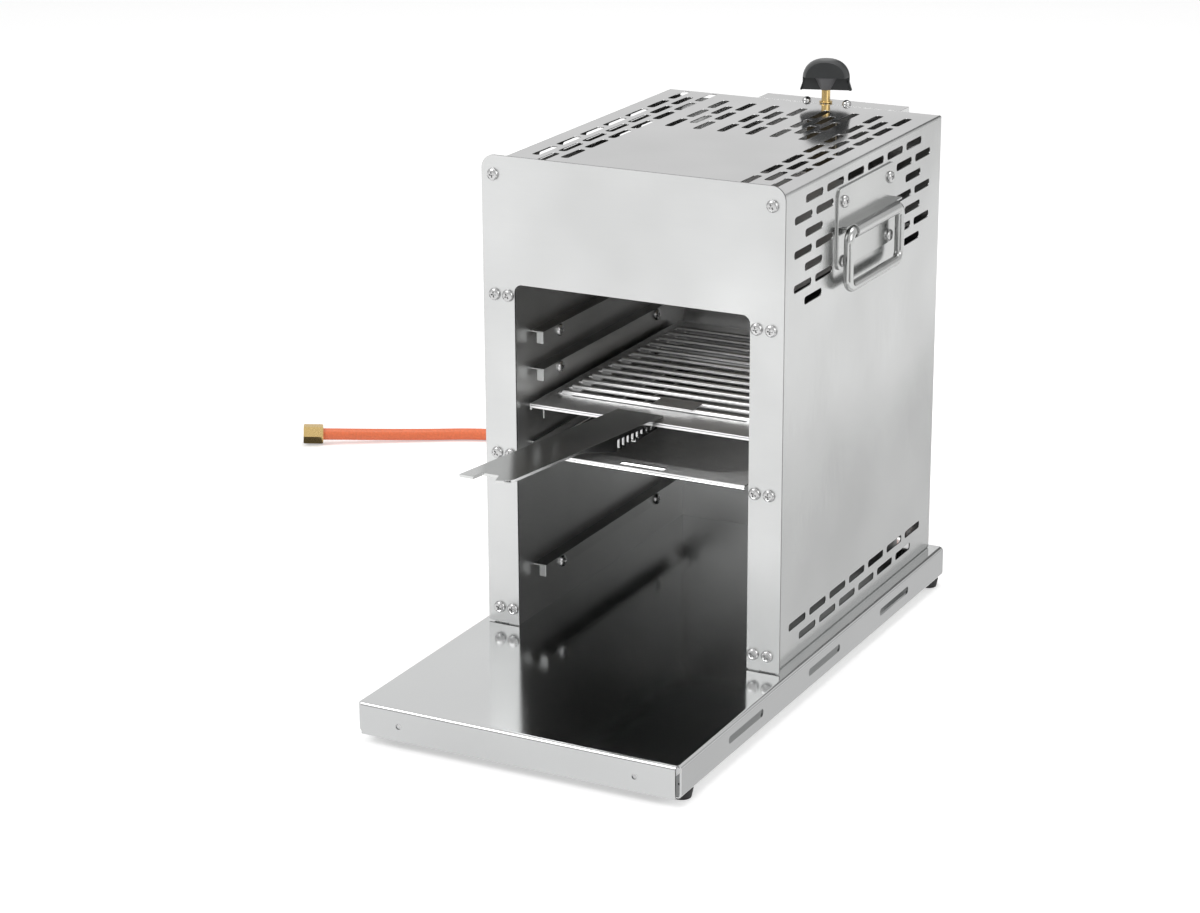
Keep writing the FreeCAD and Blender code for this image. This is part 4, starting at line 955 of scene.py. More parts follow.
@dataclass
class Fasteners:
    """Pan-head screws with a cross recess, and half-ball heads; sizes in millimetres."""

    head_radius: float = 4.5
    head_height: float = 2.4
    recess_arm: float = 2.1
    recess_half: float = 0.55
    recess_depth: float = 1.3
    ball_radius: float = 3.5
    ball_height: float = 3.3
    repeat: Optional[Repeat] = None
    template: Optional[Piece] = None
    ball: Optional[Piece] = None

    def prepare(self) -> None:
        """Build the tree and the template screws."""
        self.repeat = Repeat("screws_on_points")
        self.template = self.head()
        self.ball = self.round_head()

    def round_head(self) -> Piece:
        """Build one round head.

        Returns:
            The template, which no render shows.
        """
        steps = 12
        profile = [(0.0, 0.0)]
        for step in range(steps):
            angle = math.pi / 2.0 * step / steps
            profile.append((self.ball_radius * math.cos(angle), self.ball_height * math.sin(angle)))
        profile.append((0.0, self.ball_height))
        made = lathe("round_template", profile, own_axes, 24)
        made.hide_render = True
        return made

    def head(self) -> Piece:
        """Build one screw head that stands on z nought.

        Returns:
            The template, which no render shows.
        """
        work = bmesh.new()
        steps = 24
        crown = self.head_radius * 0.62
        rings = []
        for radius, height in (
            (self.head_radius * 0.96, 0.0),
            (self.head_radius, 0.35),
            (self.head_radius * 0.97, self.head_height * 0.48),
            (self.head_radius * 0.84, self.head_height * 0.82),
            (crown, self.head_height),
        ):
            points = loop_circle(0.0, 0.0, radius, steps)
            rings.append([work.verts.new((u * MM, v * MM, height * MM)) for u, v in points])
        for low, high in zip(rings, rings[1:]):
            bridge(work, low, high)
        work.faces.new(rings[0][::-1])
        arm, half = self.recess_arm, self.recess_half
        cross = [
            (arm, -half), (arm, half), (half, half), (half, arm), (-half, arm), (-half, half),
            (-arm, half), (-arm, -half), (-half, -half), (-half, -arm), (half, -arm), (half, -half),
        ]
        top = self.head_height * MM
        floor = (self.head_height - self.recess_depth) * MM
        rim = [work.verts.new((u * MM, v * MM, top)) for u, v in cross]
        sunk = [work.verts.new((u * MM * 0.8, v * MM * 0.8, floor)) for u, v in cross]
        bridge(work, rim, sunk)
        work.faces.new(sunk)
        outer = [vertex.co.copy() for vertex in rings[-1]]
        hole = [vertex.co.copy() for vertex in rim]
        fill(work, rings[-1] + rim, tessellate_polygon([outer, hole]))
        made = solid("screw_template", work, 35.0)
        made.hide_render = True
        return made

    def put(
        self,
        name: str,
        places: Sequence[Vector],
        facing: Sequence[float],
        body: str = HOUSING,
        replaces: Iterable[str] = (),
        seed: int = 7,
        domed: bool = False,
    ) -> Piece:
        """Put screws at places.

        Args:
            name: The piece's name.
            places: Seats of the heads in the model.
            facing: Rotation that turns a head's axis outwards.
            body: The body that they move with.
            replaces: CAD nodes that they stand for.
            seed: Seed of the recesses' turns.
            domed: Whether their heads are half balls without a recess.

        Returns:
            The screws as one piece.
        """
        head = self.ball if domed else self.template
        piece = self.repeat.make(
            name, head, places, facing, Finish.SCREW_STEEL, math.pi / 2.0, seed
        )
        return dress(piece, Finish.SCREW_STEEL, body, replaces)

    def close(self) -> None:
        """Take the templates away."""
        bpy.data.objects.remove(self.template)
        bpy.data.objects.remove(self.ball)


@dataclass
class Studio:
    """Floor, backdrop, lights and camera.

    The metal is seen by what it mirrors, so the floor and the world are white in reflections,
    and cards that only reflections show stand where the real sheets mirror something darker.
    """

    eye: Vector = field(default_factory=lambda: at(921.5, -1806.2, 819.3))
    yaw: float = 27.635
    pitch: float = 18.396
    roll: float = -0.323
    lens: float = 90.83
    sensor: float = 36.0
    floor_reach: float = 12.0
    floor_glow: float = 0.42
    daylight: float = 0.55
    card_height: float = -30.0
    ground: float = 0.001

    def camera(self) -> None:
        """Put the camera at the photograph's view."""
        yaw, pitch, roll = (math.radians(a) for a in (self.yaw, self.pitch, self.roll))
        ahead = Vector(
            (-math.sin(yaw) * math.cos(pitch), math.cos(yaw) * math.cos(pitch), -math.sin(pitch))
        )
        right = Vector((math.cos(yaw), math.sin(yaw), 0.0))
        up = right.cross(ahead)
        across = right * math.cos(roll) + up * math.sin(roll)
        paint_top_light = up * math.cos(roll) - right * math.sin(roll)
        turn = Matrix((across, paint_top_light, -ahead)).transposed().to_4x4()
        data = bpy.data.cameras.new("camera")
        data.lens = self.lens
        data.sensor_width = self.sensor
        data.clip_end = 50.0
        camera = new_object("camera", data)
        camera.matrix_world = Matrix.Translation(self.eye) @ turn
        bpy.context.scene.camera = camera

    def floor(self) -> None:
        """Lay the pale floor."""
        mesh = bpy.data.meshes.new("floor")
        reach = self.floor_reach
        corners = [(x, y, 0.0) for x, y in loop_box(-reach, reach, -reach, reach)]
        mesh.from_pydata(corners, [], [(0, 1, 2, 3)])
        floor = new_object("floor", mesh)
        shader = Shader("floor_paper")
        shader.fix("Base Color", (0.9, 0.9, 0.9, 1.0))
        shader.fix("Roughness", 0.9)
        shader.fix("Specular IOR Level", 0.1)
        white = shader.node("ShaderNodeEmission")
        total = shader.node("ShaderNodeAddShader")
        output = next(n for n in shader.tree.nodes if n.type == "OUTPUT_MATERIAL")
        paths = shader.node("ShaderNodeLightPath")
        glow = shader.node("ShaderNodeMath", operation="MAXIMUM")
        shader.link(paths.outputs["Is Camera Ray"], glow.inputs[0])
        shader.link(paths.outputs["Is Glossy Ray"], glow.inputs[1])
        strength = shader.node("ShaderNodeMath", operation="MULTIPLY")
        strength.inputs[1].default_value = self.floor_glow
        shader.link(glow.outputs["Value"], strength.inputs[0])
        shader.link(strength.outputs["Value"], white.inputs["Strength"])
        shader.link(shader.bsdf.outputs["BSDF"], total.inputs[0])
        shader.link(white.outputs["Emission"], total.inputs[1])
        shader.link(total.outputs["Shader"], output.inputs["Surface"])
        mesh.materials.append(shader.material)

    def sky(self) -> None:
        """Light the object softly and show white behind it."""
        world = bpy.data.worlds.new("studio")
        bpy.context.scene.world = world
        world.use_nodes = True
        tree = world.node_tree
        tree.nodes.clear()
        paths = tree.nodes.new("ShaderNodeLightPath")
        seen, clear = (tree.nodes.new("ShaderNodeMath") for _ in range(2))
        seen.operation = clear.operation = "MAXIMUM"
        soft = tree.nodes.new("ShaderNodeBackground")
        soft.inputs["Strength"].default_value = self.daylight
        white = tree.nodes.new("ShaderNodeBackground")
        white.inputs["Strength"].default_value = 1.0
        mixed = tree.nodes.new("ShaderNodeMixShader")
        output = tree.nodes.new("ShaderNodeOutputWorld")
        for source, target in (
            (paths.outputs["Is Camera Ray"], seen.inputs[0]),
            (paths.outputs["Is Glossy Ray"], seen.inputs[1]),
            (seen.outputs["Value"], clear.inputs[0]),
            (paths.outputs["Is Transmission Ray"], clear.inputs[1]),
            (clear.outputs["Value"], mixed.inputs["Fac"]),
            (soft.outputs["Background"], mixed.inputs[1]),
            (white.outputs["Background"], mixed.inputs[2]),
            (mixed.outputs["Shader"], output.inputs["Surface"]),
        ):
            tree.links.new(source, target)

    def lamp(
        self, name: str, place: Vector, target: Vector, size: float, power: float
    ) -> None:
        """Hang one square soft lamp.

        Args:
            name: The lamp's name.
            place: Where it hangs.
            target: What it faces.
            size: Its edge in metres.
            power: Its power in watts.
        """
        data = bpy.data.lights.new(name, "AREA")
        data.size = size
        data.energy = power
        lamp = new_object(name, data)
        lamp.location = place
        lamp.rotation_euler = (target - place).to_track_quat("-Z", "Y").to_euler()

    def card(self, name: str, corners: Sequence[Vector], tone: float) -> None:
        """Stand a card that only reflections show.

        Args:
            name: The card's name.
            corners: Its outline.
            tone: Its brightness in reflections.
        """
        mesh = bpy.data.meshes.new(name)
        mesh.from_pydata([tuple(corner) for corner in corners], [], [range(len(corners))])
        card = new_object(name, mesh)
        shader = Shader(name)
        shader.fix("Base Color", (0.0, 0.0, 0.0, 1.0))
        shader.fix("Specular IOR Level", 0.0)
        shader.fix("Emission Color", (tone, tone, tone, 1.0))
        shader.fix("Emission Strength", 1.0)
        mesh.materials.append(shader.material)
        card.visible_camera = False
        card.visible_diffuse = False
        card.visible_shadow = False
        card.visible_transmission = False

    def cards(self) -> None:
        """Stand the cards that give the sheet metal its darker reflections."""
        beside = [
            (126, -230), (290, -230), (300, 380), (312, 459), (316, 487), (329, 581),
            (342, 715), (349, 843), (355, 910), (362, 1100), (126, 1100),
        ]
        self.card("card_beside", [at(x, y, self.card_height) for x, y in beside], 0.88)
        behind = loop_box(-0.36, 0.5, 0.0, 1.15)
        self.card("card_behind", [Vector((x, 1.55, z)) for x, z in behind], 0.16)
        for name, outline, tone in (
            ("card_left", loop_box(-0.95, -0.5, -0.3, 0.5), 0.1),
            ("card_right", loop_box(0.55, 1.2, -1.0, -0.15), 0.12),
        ):
            self.card(name, [Vector((x, y, self.ground)) for x, y in outline], tone)

    def build(self) -> None:
        """Set the whole studio up."""
        bpy.context.scene.view_settings.view_transform = "Standard"
        self.camera()
        self.floor()
        self.sky()
        self.cards()
        target = at(0.0, 60.0, 150.0)
        for name, place, size, power in (
            ("key", (-1.6, -2.2, 2.6), 1.6, 46.0),
            ("fill", (2.6, -1.0, 1.6), 1.8, 22.0),
            ("top", (0.2, 0.6, 2.8), 1.6, 26.0),
        ):
            self.lamp(name, Vector(place), target, size, power)


@dataclass
class GasHose:
    """Orange hose from the valve down to the table and away to the left."""

    radius: float = 5.2
    length: float = 0.899
    nut_radius: float = 8.4
    nut_length: float = 11.0
    sleeve_radius: float = 7.5
    sleeve_groove: float = 6.9
    sleeve_length: float = 22.0
    sleeve_ribs: int = 5
    union_radius: float = 9.0
    union_length: float = 17.8
    route: tuple[tuple[float, float, float], ...] = (
        (17.0, 340.5, 300.0),
        (17.0, 400.5, 300.0),
        (17.0, 460.0, 240.0),
        (17.0, 464.0, 130.0),
        (17.0, 460.0, 50.0),
        (-45.0, 460.0, -25.0),
        (-130.0, 455.0, -25.0),
        (-212.0, 466.0, -25.0),
        (-294.0, 470.0, -25.0),
        (-374.0, 458.0, -25.0),
        (-440.0, 420.0, -25.0),
        (-504.0, 379.0, -21.5),
    )

    def hose(self) -> Piece:
        """Lay the hose along its route as one smooth curve.

        Returns:
            The hose.
        """
        data = bpy.data.curves.new("gas_hose_run", "CURVE")
        data.dimensions = "3D"
        spline = data.splines.new("NURBS")
        spline.points.add(len(self.route) - 1)
        for point, place in zip(spline.points, self.route):
            point.co = (*at(*place), 1.0)
        spline.order_u = 3
        spline.use_endpoint_u = True
        spline.resolution_u = 14
        data.bevel_depth = self.radius * MM
        data.bevel_resolution = 8
        data.use_fill_caps = True
        return new_object("gas_hose_run", data)

    def ferrule(self, name: str, start: Vector, way: Vector) -> Piece:
        """Crimp a ribbed sleeve round the hose.

        Args:
            name: The piece's name.
            start: Where the sleeve starts.
            way: Its direction.

        Returns:
            The sleeve.
        """
        reach, wide, groove = self.sleeve_length, self.sleeve_radius, self.sleeve_groove
        profile = [(0.0, 0.0), (wide - 0.7, 0.0), (wide, 0.6)]
        step = (reach - 4.0) / self.sleeve_ribs
        for rib in range(self.sleeve_ribs):
            base = 2.0 + (reach - 4.0) * rib / self.sleeve_ribs
            profile += [(wide, base), (groove, base + step * 0.3)]
            profile += [(groove, base + step * 0.6), (wide, base + step * 0.9)]
        profile += [(wide, reach - 0.6), (wide - 0.9, reach), (0.0, reach)]
        return lathe(name, profile, along(start, way))

    def hexagon(
        self, name: str, start: Vector, way: Vector, radius: float, reach: float
    ) -> Piece:
        """Make a hexagon nut with eased ends.

        Args:
            name: The piece's name.
            start: Middle of its first face.
            way: Its direction.
            radius: Radius over the corners in millimetres.
            reach: Its length in millimetres.

        Returns:
            The nut.
        """
        return sheet(name, [loop_circle(0.0, 0.0, radius, 6)], reach, along(start, way), 0.7)

    def build(self) -> None:
        """Build the hose with what is on it."""
        hose = self.hose()
        hose.data.materials.append(Finish.HOSE.material())
        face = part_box("hose_inlet_fitting")
        valve_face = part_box("valve_body")[1][1]
        middle = Vector(((face[0][0] + face[1][0]) / 2, valve_face, (face[0][2] + face[1][2]) / 2))
        back = Vector((0.0, 1.0, 0.0))
        nut = self.hexagon("hose_inlet_nut", middle, back, self.nut_radius, self.nut_length)
        dress(nut, Finish.BRASS)
        sleeve = self.ferrule("hose_inlet_sleeve", middle + back * self.nut_length * MM, back)
        dress(sleeve, Finish.BRIGHT_STEEL, HOUSING, ["hose_inlet_fitting"])
        end = at(*self.route[-1])
        way = (end - at(*self.route[-2])).normalized()
        end_nut = self.hexagon("hose_end_union", end, way, self.union_radius, self.union_length)
        dress(end_nut, Finish.BRASS, HOUSING, ["hose_end_nut"])
        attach(hose, HOUSING)
        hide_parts("gas_hose")
        LOG.info("gas_hose_run: laid along %d points", len(self.route))


@dataclass
class BaseTray:
    """The long tray that everything stands on, with its rubber feet."""

    def build(self) -> None:
        """Dress the tray and its feet."""
        dress_copy("base_tray", "tray_sheet", 0.3, Finish.DECK_SHEET)
        dress_copy("rubber_feet", "tray_feet", 0.5, Finish.FOOT_RUBBER)


@dataclass
class Housing:
    """Fascia, pierced shell and rear panel, with their screws; sizes in millimetres."""

    fasteners: Fasteners
    half: float = 113.8
    top: float = 344.4
    front: float = 1.5
    rear: float = 291.5
    skin: float = 1.0
    bend: float = 1.6
    vent_length: float = 29.5
    vent_width: float = 5.5
    vent_corner: float = 2.1
    vent_pitch: float = 36.25
    row_drop: float = 10.2
    row_pitch: float = 12.0
    low_row: float = 26.5
    group_pitch: float = 42.4
    column: float = 11.5
    flange: float = 12.0
    front_fold: float = 11.7
    rear_fold: float = 10.0
    screw_rows: tuple[float, ...] = (12.58, 132.1, 250.6)
    top_screws: float = 337.6
    outer_screws: float = 107.65
    inner_screws: float = 96.84
    rear_screws: float = 107.0
    rear_screw_rows: tuple[float, ...] = (16.0, 172.0, 328.0)

    def vent_y(self, step: float) -> float:
        """Give the middle of the vent that is so many pitches behind the front."""
        return self.front + self.vent_pitch * step

    def vent(self, u: float, v: float, upright: bool = False) -> list[Point]:
        """Give one vent's outline.

        Args:
            u: Its middle along the drawing's first axis.
            v: Its middle along the second.
            upright: Whether its length runs along the second axis.

        Returns:
            The outline.
        """
        along, across = self.vent_length / 2.0, self.vent_width / 2.0
        if upright:
            along, across = across + 0.3, along
        return loop_box(u - along, u + along, v - across, v + across, self.vent_corner, 4)

    def side_vents(self) -> list[list[Point]]:
        """Give the vents of a side wall.

        Returns:
            Their outlines, by distance from the front and height.
        """
        top = self.top - self.row_drop
        whole = [1.0 + n for n in range(7)]
        between = [1.5 + n for n in range(6)]
        rows = [(top, between), (self.low_row, whole), (self.low_row - self.row_pitch, between)]
        for row in range(1, 7):
            ends = [between[0], between[-1]] if row % 2 == 0 else whole[:2] + whole[-2:]
            rows.append((top - self.row_pitch * row, ends))
        return [self.vent(self.vent_y(step), z) for z, steps in rows for step in steps]

    def roof_vents(self) -> list[list[Point]]:
        """Give the vents of the roof.

        Returns:
            Their outlines, by distances across and from the front.
        """
        whole = [1.0 + n for n in range(7)]
        between = [1.5 + n for n in range(6)]
        group, column = self.group_pitch, self.column
        columns = [
            (-2 * group, whole),
            (-2 * group - column, between + [7.5]),
            (-2 * group + column, between + [7.5]),
            (2 * group - column, whole),
            (2 * group + column, whole),
            (2 * group, between),
        ]
        for number in (-1, 0, 1):
            columns.append((number * group - column, whole[-3:]))
            columns.append((number * group + column, whole[-3:]))
            columns.append((number * group, between[-2:]))
        return [self.vent(x, self.vent_y(step), True) for x, steps in columns for step in steps]

    def bend_loop(self, side: int) -> list[Point]:
        """Give the section of the bend between roof and wall.

        Args:
            side: Minus one for the left wall and one for the right.

        Returns:
            The section's outline.
        """
        middle = (self.half - self.bend, self.top - self.bend)
        quarter = math.pi / 2.0
        loop = arc(middle, self.bend, 0.0, quarter, 14)
        loop += arc(middle, self.bend - self.skin, quarter, -quarter, 14)
        return [(u * side, v) for u, v in loop]

    def foot_loop(self, side: int) -> list[Point]:
        """Give the section of the bend under a wall, with the flange that lies on the tray.

        Args:
            side: Minus one for the left wall and one for the right.

        Returns:
            The section's outline.
        """
        middle = (self.half - self.bend, self.bend)
        quarter = math.pi / 2.0
        loop = [(self.half - self.flange, 0.0)]
        loop += arc(middle, self.bend, -quarter, quarter, 10)
        loop += arc(middle, self.bend - self.skin, 0.0, -quarter, 10)
        loop.append((self.half - self.flange, self.skin))
        return [(u * side, v) for u, v in loop]

    def shell(self) -> None:
        """Build the walls, the roof and their bends."""
        front = self.front + 0.2
        for side, name in ((-1, "left"), (1, "right")):
            outline = loop_box(front, self.rear, self.bend, self.top - self.bend)
            level = self.half - self.skin if side > 0 else -self.half
            place = Plane.SIDE.place(level)
            wall = sheet(f"shell_wall_{name}", [outline] + self.side_vents(), self.skin, place, 0.12)
            dress(wall, Finish.SIDE_SHEET)
        reach = self.half - self.bend
        outline = loop_box(-reach, reach, front, self.rear)
        skin = self.skin * 0.6
        place = Plane.TOP.place(self.top - skin)
        roof = sheet("shell_roof", [outline] + self.roof_vents(), skin, place, 0.12)
        dress(roof, Finish.ROOF_SHEET, HOUSING, ["outer_shell"])
        work = bmesh.new()
        for side in (-1, 1):
            for loop in (self.bend_loop(side), self.foot_loop(side)):
                add_sheet(work, [loop], self.rear - front, Plane.FRONT.place(front), 0.0)
            folds = ((self.front + 0.05, self.front_fold), (self.rear - self.skin, self.rear_fold))
            for y, width in folds:
                low, high = sorted(((self.half - width) * side, (self.half - self.skin) * side))
                strip = loop_box(low, high, self.bend, self.top - self.bend)
                add_sheet(work, [strip], self.skin - 0.05, Plane.FRONT.place(y), 0.05)
        bends = solid("shell_bends", work, 30.0)
        dress(bends, Finish.SIDE_SHEET)

    def build(self) -> None:
        """Build the housing."""
        fascia = dress_copy("front_fascia", "fascia_plate", 0.3, Finish.FACE_SHEET)
        # The fascia's edge faces get painted shade: a dark line where it meets the shell.
        fascia.data.materials.append(Finish.EDGE_SHADE.material())
        for face in fascia.data.polygons:
            face.material_index = 1 if abs(face.normal.y) < 0.3 else 0
        outer = [(self.outer_screws, z) for z in (*self.screw_rows, self.top_screws)]
        inner = [(self.inner_screws, z) for z in self.screw_rows]
        places = [at(x * side, 0.0, z) for side in (-1, 1) for x, z in outer + inner]
        self.fasteners.put("fascia_screw_heads", places, FACING_FRONT, HOUSING, ["fascia_screws"])
        self.shell()
        dress_copy("rear_panel", "rear_sheet", 0.2, Finish.SIDE_SHEET)
        columns = (-self.rear_screws, self.rear_screws)
        back = self.rear + self.skin
        places = [at(x, back, z) for x in columns for z in self.rear_screw_rows]
        self.fasteners.put("rear_screw_heads", places, FACING_BACK, HOUSING, (), 3)


@dataclass
class Chamber:
    """Walls, ceiling and rails of the cooking space; sizes in millimetres."""

    fasteners: Fasteners
    rail_tops: tuple[float, ...] = (219.2, 191.25, 163.3, 135.35, 40.8)
    rail_screws: tuple[float, float] = (50.0, 207.0)
    wall: float = 92.6
    rail_reach: float = 10.0
    rail_height: float = 9.0
    tab_width: float = 5.4
    rail_front: float = 25.0
    rail_rear: float = 265.0
    skin: float = 1.0
    tabbed: tuple[int, ...] = (1, 2, 5)
    screw_drop: float = 4.6

    def rail(self, name: str, side: int, level: int, top: float) -> Piece:
        """Build one rail as a folded channel with a small front tab.

        Args:
            name: The rail's name.
            side: Minus one for the left wall and one for the right.
            level: Its number from the top.
            top: Height of its upper face.

        Returns:
            The rail.
        """
        inner, foot, skin = self.wall - self.rail_reach, top - self.rail_height, self.skin
        section = [
            (self.wall, top - skin), (self.wall, top), (inner, top), (inner, foot),
            (inner + skin, foot), (inner + skin, top - skin),
        ]
        work = bmesh.new()
        loop = [(u * side, v) for u, v in section]
        length = self.rail_rear - self.rail_front
        add_sheet(work, [loop], length, Plane.FRONT.place(self.rail_front), 0.15)
        if level in self.tabbed:
            low, high = sorted((side * inner, side * (inner + self.tab_width)))
            tab = loop_box(low, high, foot, top - skin * 0.5, 0.6, 3)
            add_sheet(work, [tab], skin, Plane.FRONT.place(self.rail_front - 0.2), 0.15)
        return solid(name, work)

    def build(self) -> None:
        """Build the chamber."""
        for side in ("left", "right"):
            dress_copy(
                f"inner_wall_{side}", f"chamber_wall_{side}", 0.2, Finish.CHAMBER_SHEET
            )
            for level, top in enumerate(self.rail_tops, 1):
                rail = self.rail(f"rail_bar_{side}_{level}", -1 if side == "left" else 1, level, top)
                dress(rail, Finish.RAIL_SHEET, HOUSING, [f"rail_{side}_{level}"])
        dress_copy("inner_rear_wall", "chamber_back", 0.0, Finish.BACK_SHEET)
        dress_copy("heat_shield", "chamber_ceiling", 0.2, Finish.DULL_STEEL)
        heights = [top - self.screw_drop for top in self.rail_tops]
        for side, facing, name in ((-1, FACING_RIGHT, "left"), (1, FACING_LEFT, "right")):
            x = (self.wall - self.rail_reach) * side
            places = [at(x, y, z) for y in self.rail_screws for z in heights]
            self.fasteners.put(f"rail_screw_heads_{name}", places, facing, HOUSING, (), 11)


@dataclass
class Burner:
    """Ceramic burner over the chamber with its gas feed."""

    def build(self) -> None:
        """Dress the burner's pieces."""
        for node, name, width, finish, slot in (
            ("ceramic_plaque", "burner_tile", 0.4, Finish.CERAMIC, "ceramic"),
            ("burner_housing", "burner_box", 0.4, Finish.DULL_STEEL, "dull_steel"),
            ("mixer_tube", "gas_mixer", 0.4, Finish.DULL_STEEL, "dull_steel"),
            ("gas_injector", "gas_nozzle", 0.3, Finish.DARK_BRASS, "brass"),
        ):
            dress_copy(node, name, width, finish)


@dataclass
class Grate:
    """Folded grate frame with round welded bars; sizes in millimetres."""

    bars: int = 13
    bar_radius: float = 1.9
    bar_half: float = 78.0
    first_bar: float = 45.2
    last_bar: float = 233.8
    bar_height: float = 169.3
    half: float = 88.0
    front: float = 12.8
    rear: float = 258.0
    top: float = 168.0
    strip: float = 18.0
    front_strip: float = 30.2
    rear_strip: float = 22.0
    skin: float = 1.5
    lip: float = 4.4
    front_lip: float = 2.9
    catch: tuple[float, float, float, float, float] = (-4.0, 29.0, 39.5, 57.5, 171.0)
    weld: float = 1.7
    weld_gap: float = 1.2
    weld_shape: tuple[float, float, float, float] = (1.5, 1.0, 0.9, 1.0)

    def bar_places(self) -> list[float]:
        """Give the bars' distances behind the fascia."""
        pitch = (self.last_bar - self.first_bar) / (self.bars - 1)
        return [self.first_bar + pitch * number for number in range(self.bars)]

    def frame(self) -> Piece:
        """Build the folded frame with its catch and the welds at the bars' ends.

        Returns:
            The frame.
        """
        work = bmesh.new()
        outline = loop_box(-self.half, self.half, self.front, self.rear, 0.8, 3)
        inner = self.half - self.strip
        hole = loop_box(
            -inner, inner, self.front + self.front_strip, self.rear - self.rear_strip, 1.5, 3
        )
        add_sheet(work, [outline, hole], self.skin, Plane.TOP.place(self.top - self.skin), 0.25)
        for side in (-1, 1):
            lip = loop_box(self.front + 0.5, self.rear - 0.5, self.top - self.lip, self.top - 0.7)
            level = self.half - self.skin if side > 0 else -self.half
            add_sheet(work, [lip], self.skin, Plane.SIDE.place(level), 0.2)
        lip = loop_box(-self.half + 0.3, self.half - 0.3, self.top - self.front_lip, self.top - 0.5)
        add_sheet(work, [lip], self.skin, Plane.FRONT.place(self.front), 0.3)
        x0, x1, y0, y1, level = self.catch
        add_sheet(work, [loop_box(x0, x1, y0, y1, 1.2, 3)], 1.0, Plane.TOP.place(level), 0.25)
        leg = loop_box(x0 + 4.0, x1 - 4.0, self.top - 0.5, level + 0.3)
        add_sheet(work, [leg], 1.0, Plane.FRONT.place(y0 + 4.5), 0.2)
        squash = Matrix.Diagonal(self.weld_shape)
        for y in self.bar_places():
            for side in (-1, 1):
                spot = at(side * (self.bar_half + self.weld_gap), y, self.top)
                bmesh.ops.create_icosphere(
                    work,
                    subdivisions=2,
                    radius=self.weld * MM,
                    matrix=Matrix.Translation(spot) @ squash,
                )
        return solid("grate_plate", work)

    def template(self) -> Piece:
        """Make one bar along its own z axis, with eased ends.

        Returns:
            The template, which no render shows.
        """
        half, radius = self.bar_half, self.bar_radius
        profile = [
            (0.0, -half), (radius - 0.5, -half), (radius, 0.5 - half),
            (radius, half - 0.5), (radius - 0.5, half), (0.0, half),
        ]
        bar = lathe("bar_template", profile, own_axes, 16)
        bar.hide_render = True
        return bar

    def build(self) -> None:
        """Build the grate."""
        dress(self.frame(), Finish.GRATE_SHEET, "grate", ["grate_frame"])
        template = self.template()
        places = [at(0.0, y, self.bar_height) for y in self.bar_places()]
        bars = Repeat("bars_on_points").make(
            "grate_bars", template, places, FACING_RIGHT, Finish.ROD_STEEL, 0.0
        )
        dress(bars, Finish.ROD_STEEL, "grate", ["grate_rods"])
        bpy.data.objects.remove(template)


@dataclass
class Lifter:
    """Loose handle that hooks the grate; sizes in millimetres."""

    comb_rear: float = 7.0
    comb_length: float = 56.0
    comb_teeth: int = 8
    comb_side: float = 14.2
    root: float = 24.0
    seat: float = 168.3
    slope: float = 0.0844
    skin: float = 1.6
    tooth_share: float = 0.42
    tooth_start: float = 0.75
    tooth_depth: float = 8.0
    cut_inside: float = 3.4
    cut_width: float = 5.0

    def build(self) -> None:
        """Dress the lifter and cut the long teeth of its comb."""
        work = bmesh.new()
        pitch = self.comb_length / self.comb_teeth
        for tooth in range(self.comb_teeth):
            start = self.comb_rear - pitch * (tooth + self.tooth_start)
            top = self.seat + self.slope * (self.root - start) - self.skin
            gap = loop_box(start, start + pitch * self.tooth_share, self.seat - self.tooth_depth, top)
            place = Plane.SIDE.place(self.comb_side - self.cut_inside)
            add_sheet(work, [gap], self.cut_width, place, 0.0)
        cutter = solid("comb_cutter", work)
        dress_copy(
            "lifter", "lifter_strip", 0.2, Finish.LIFTER_SHEET, body="lifter", cutter=cutter
        )


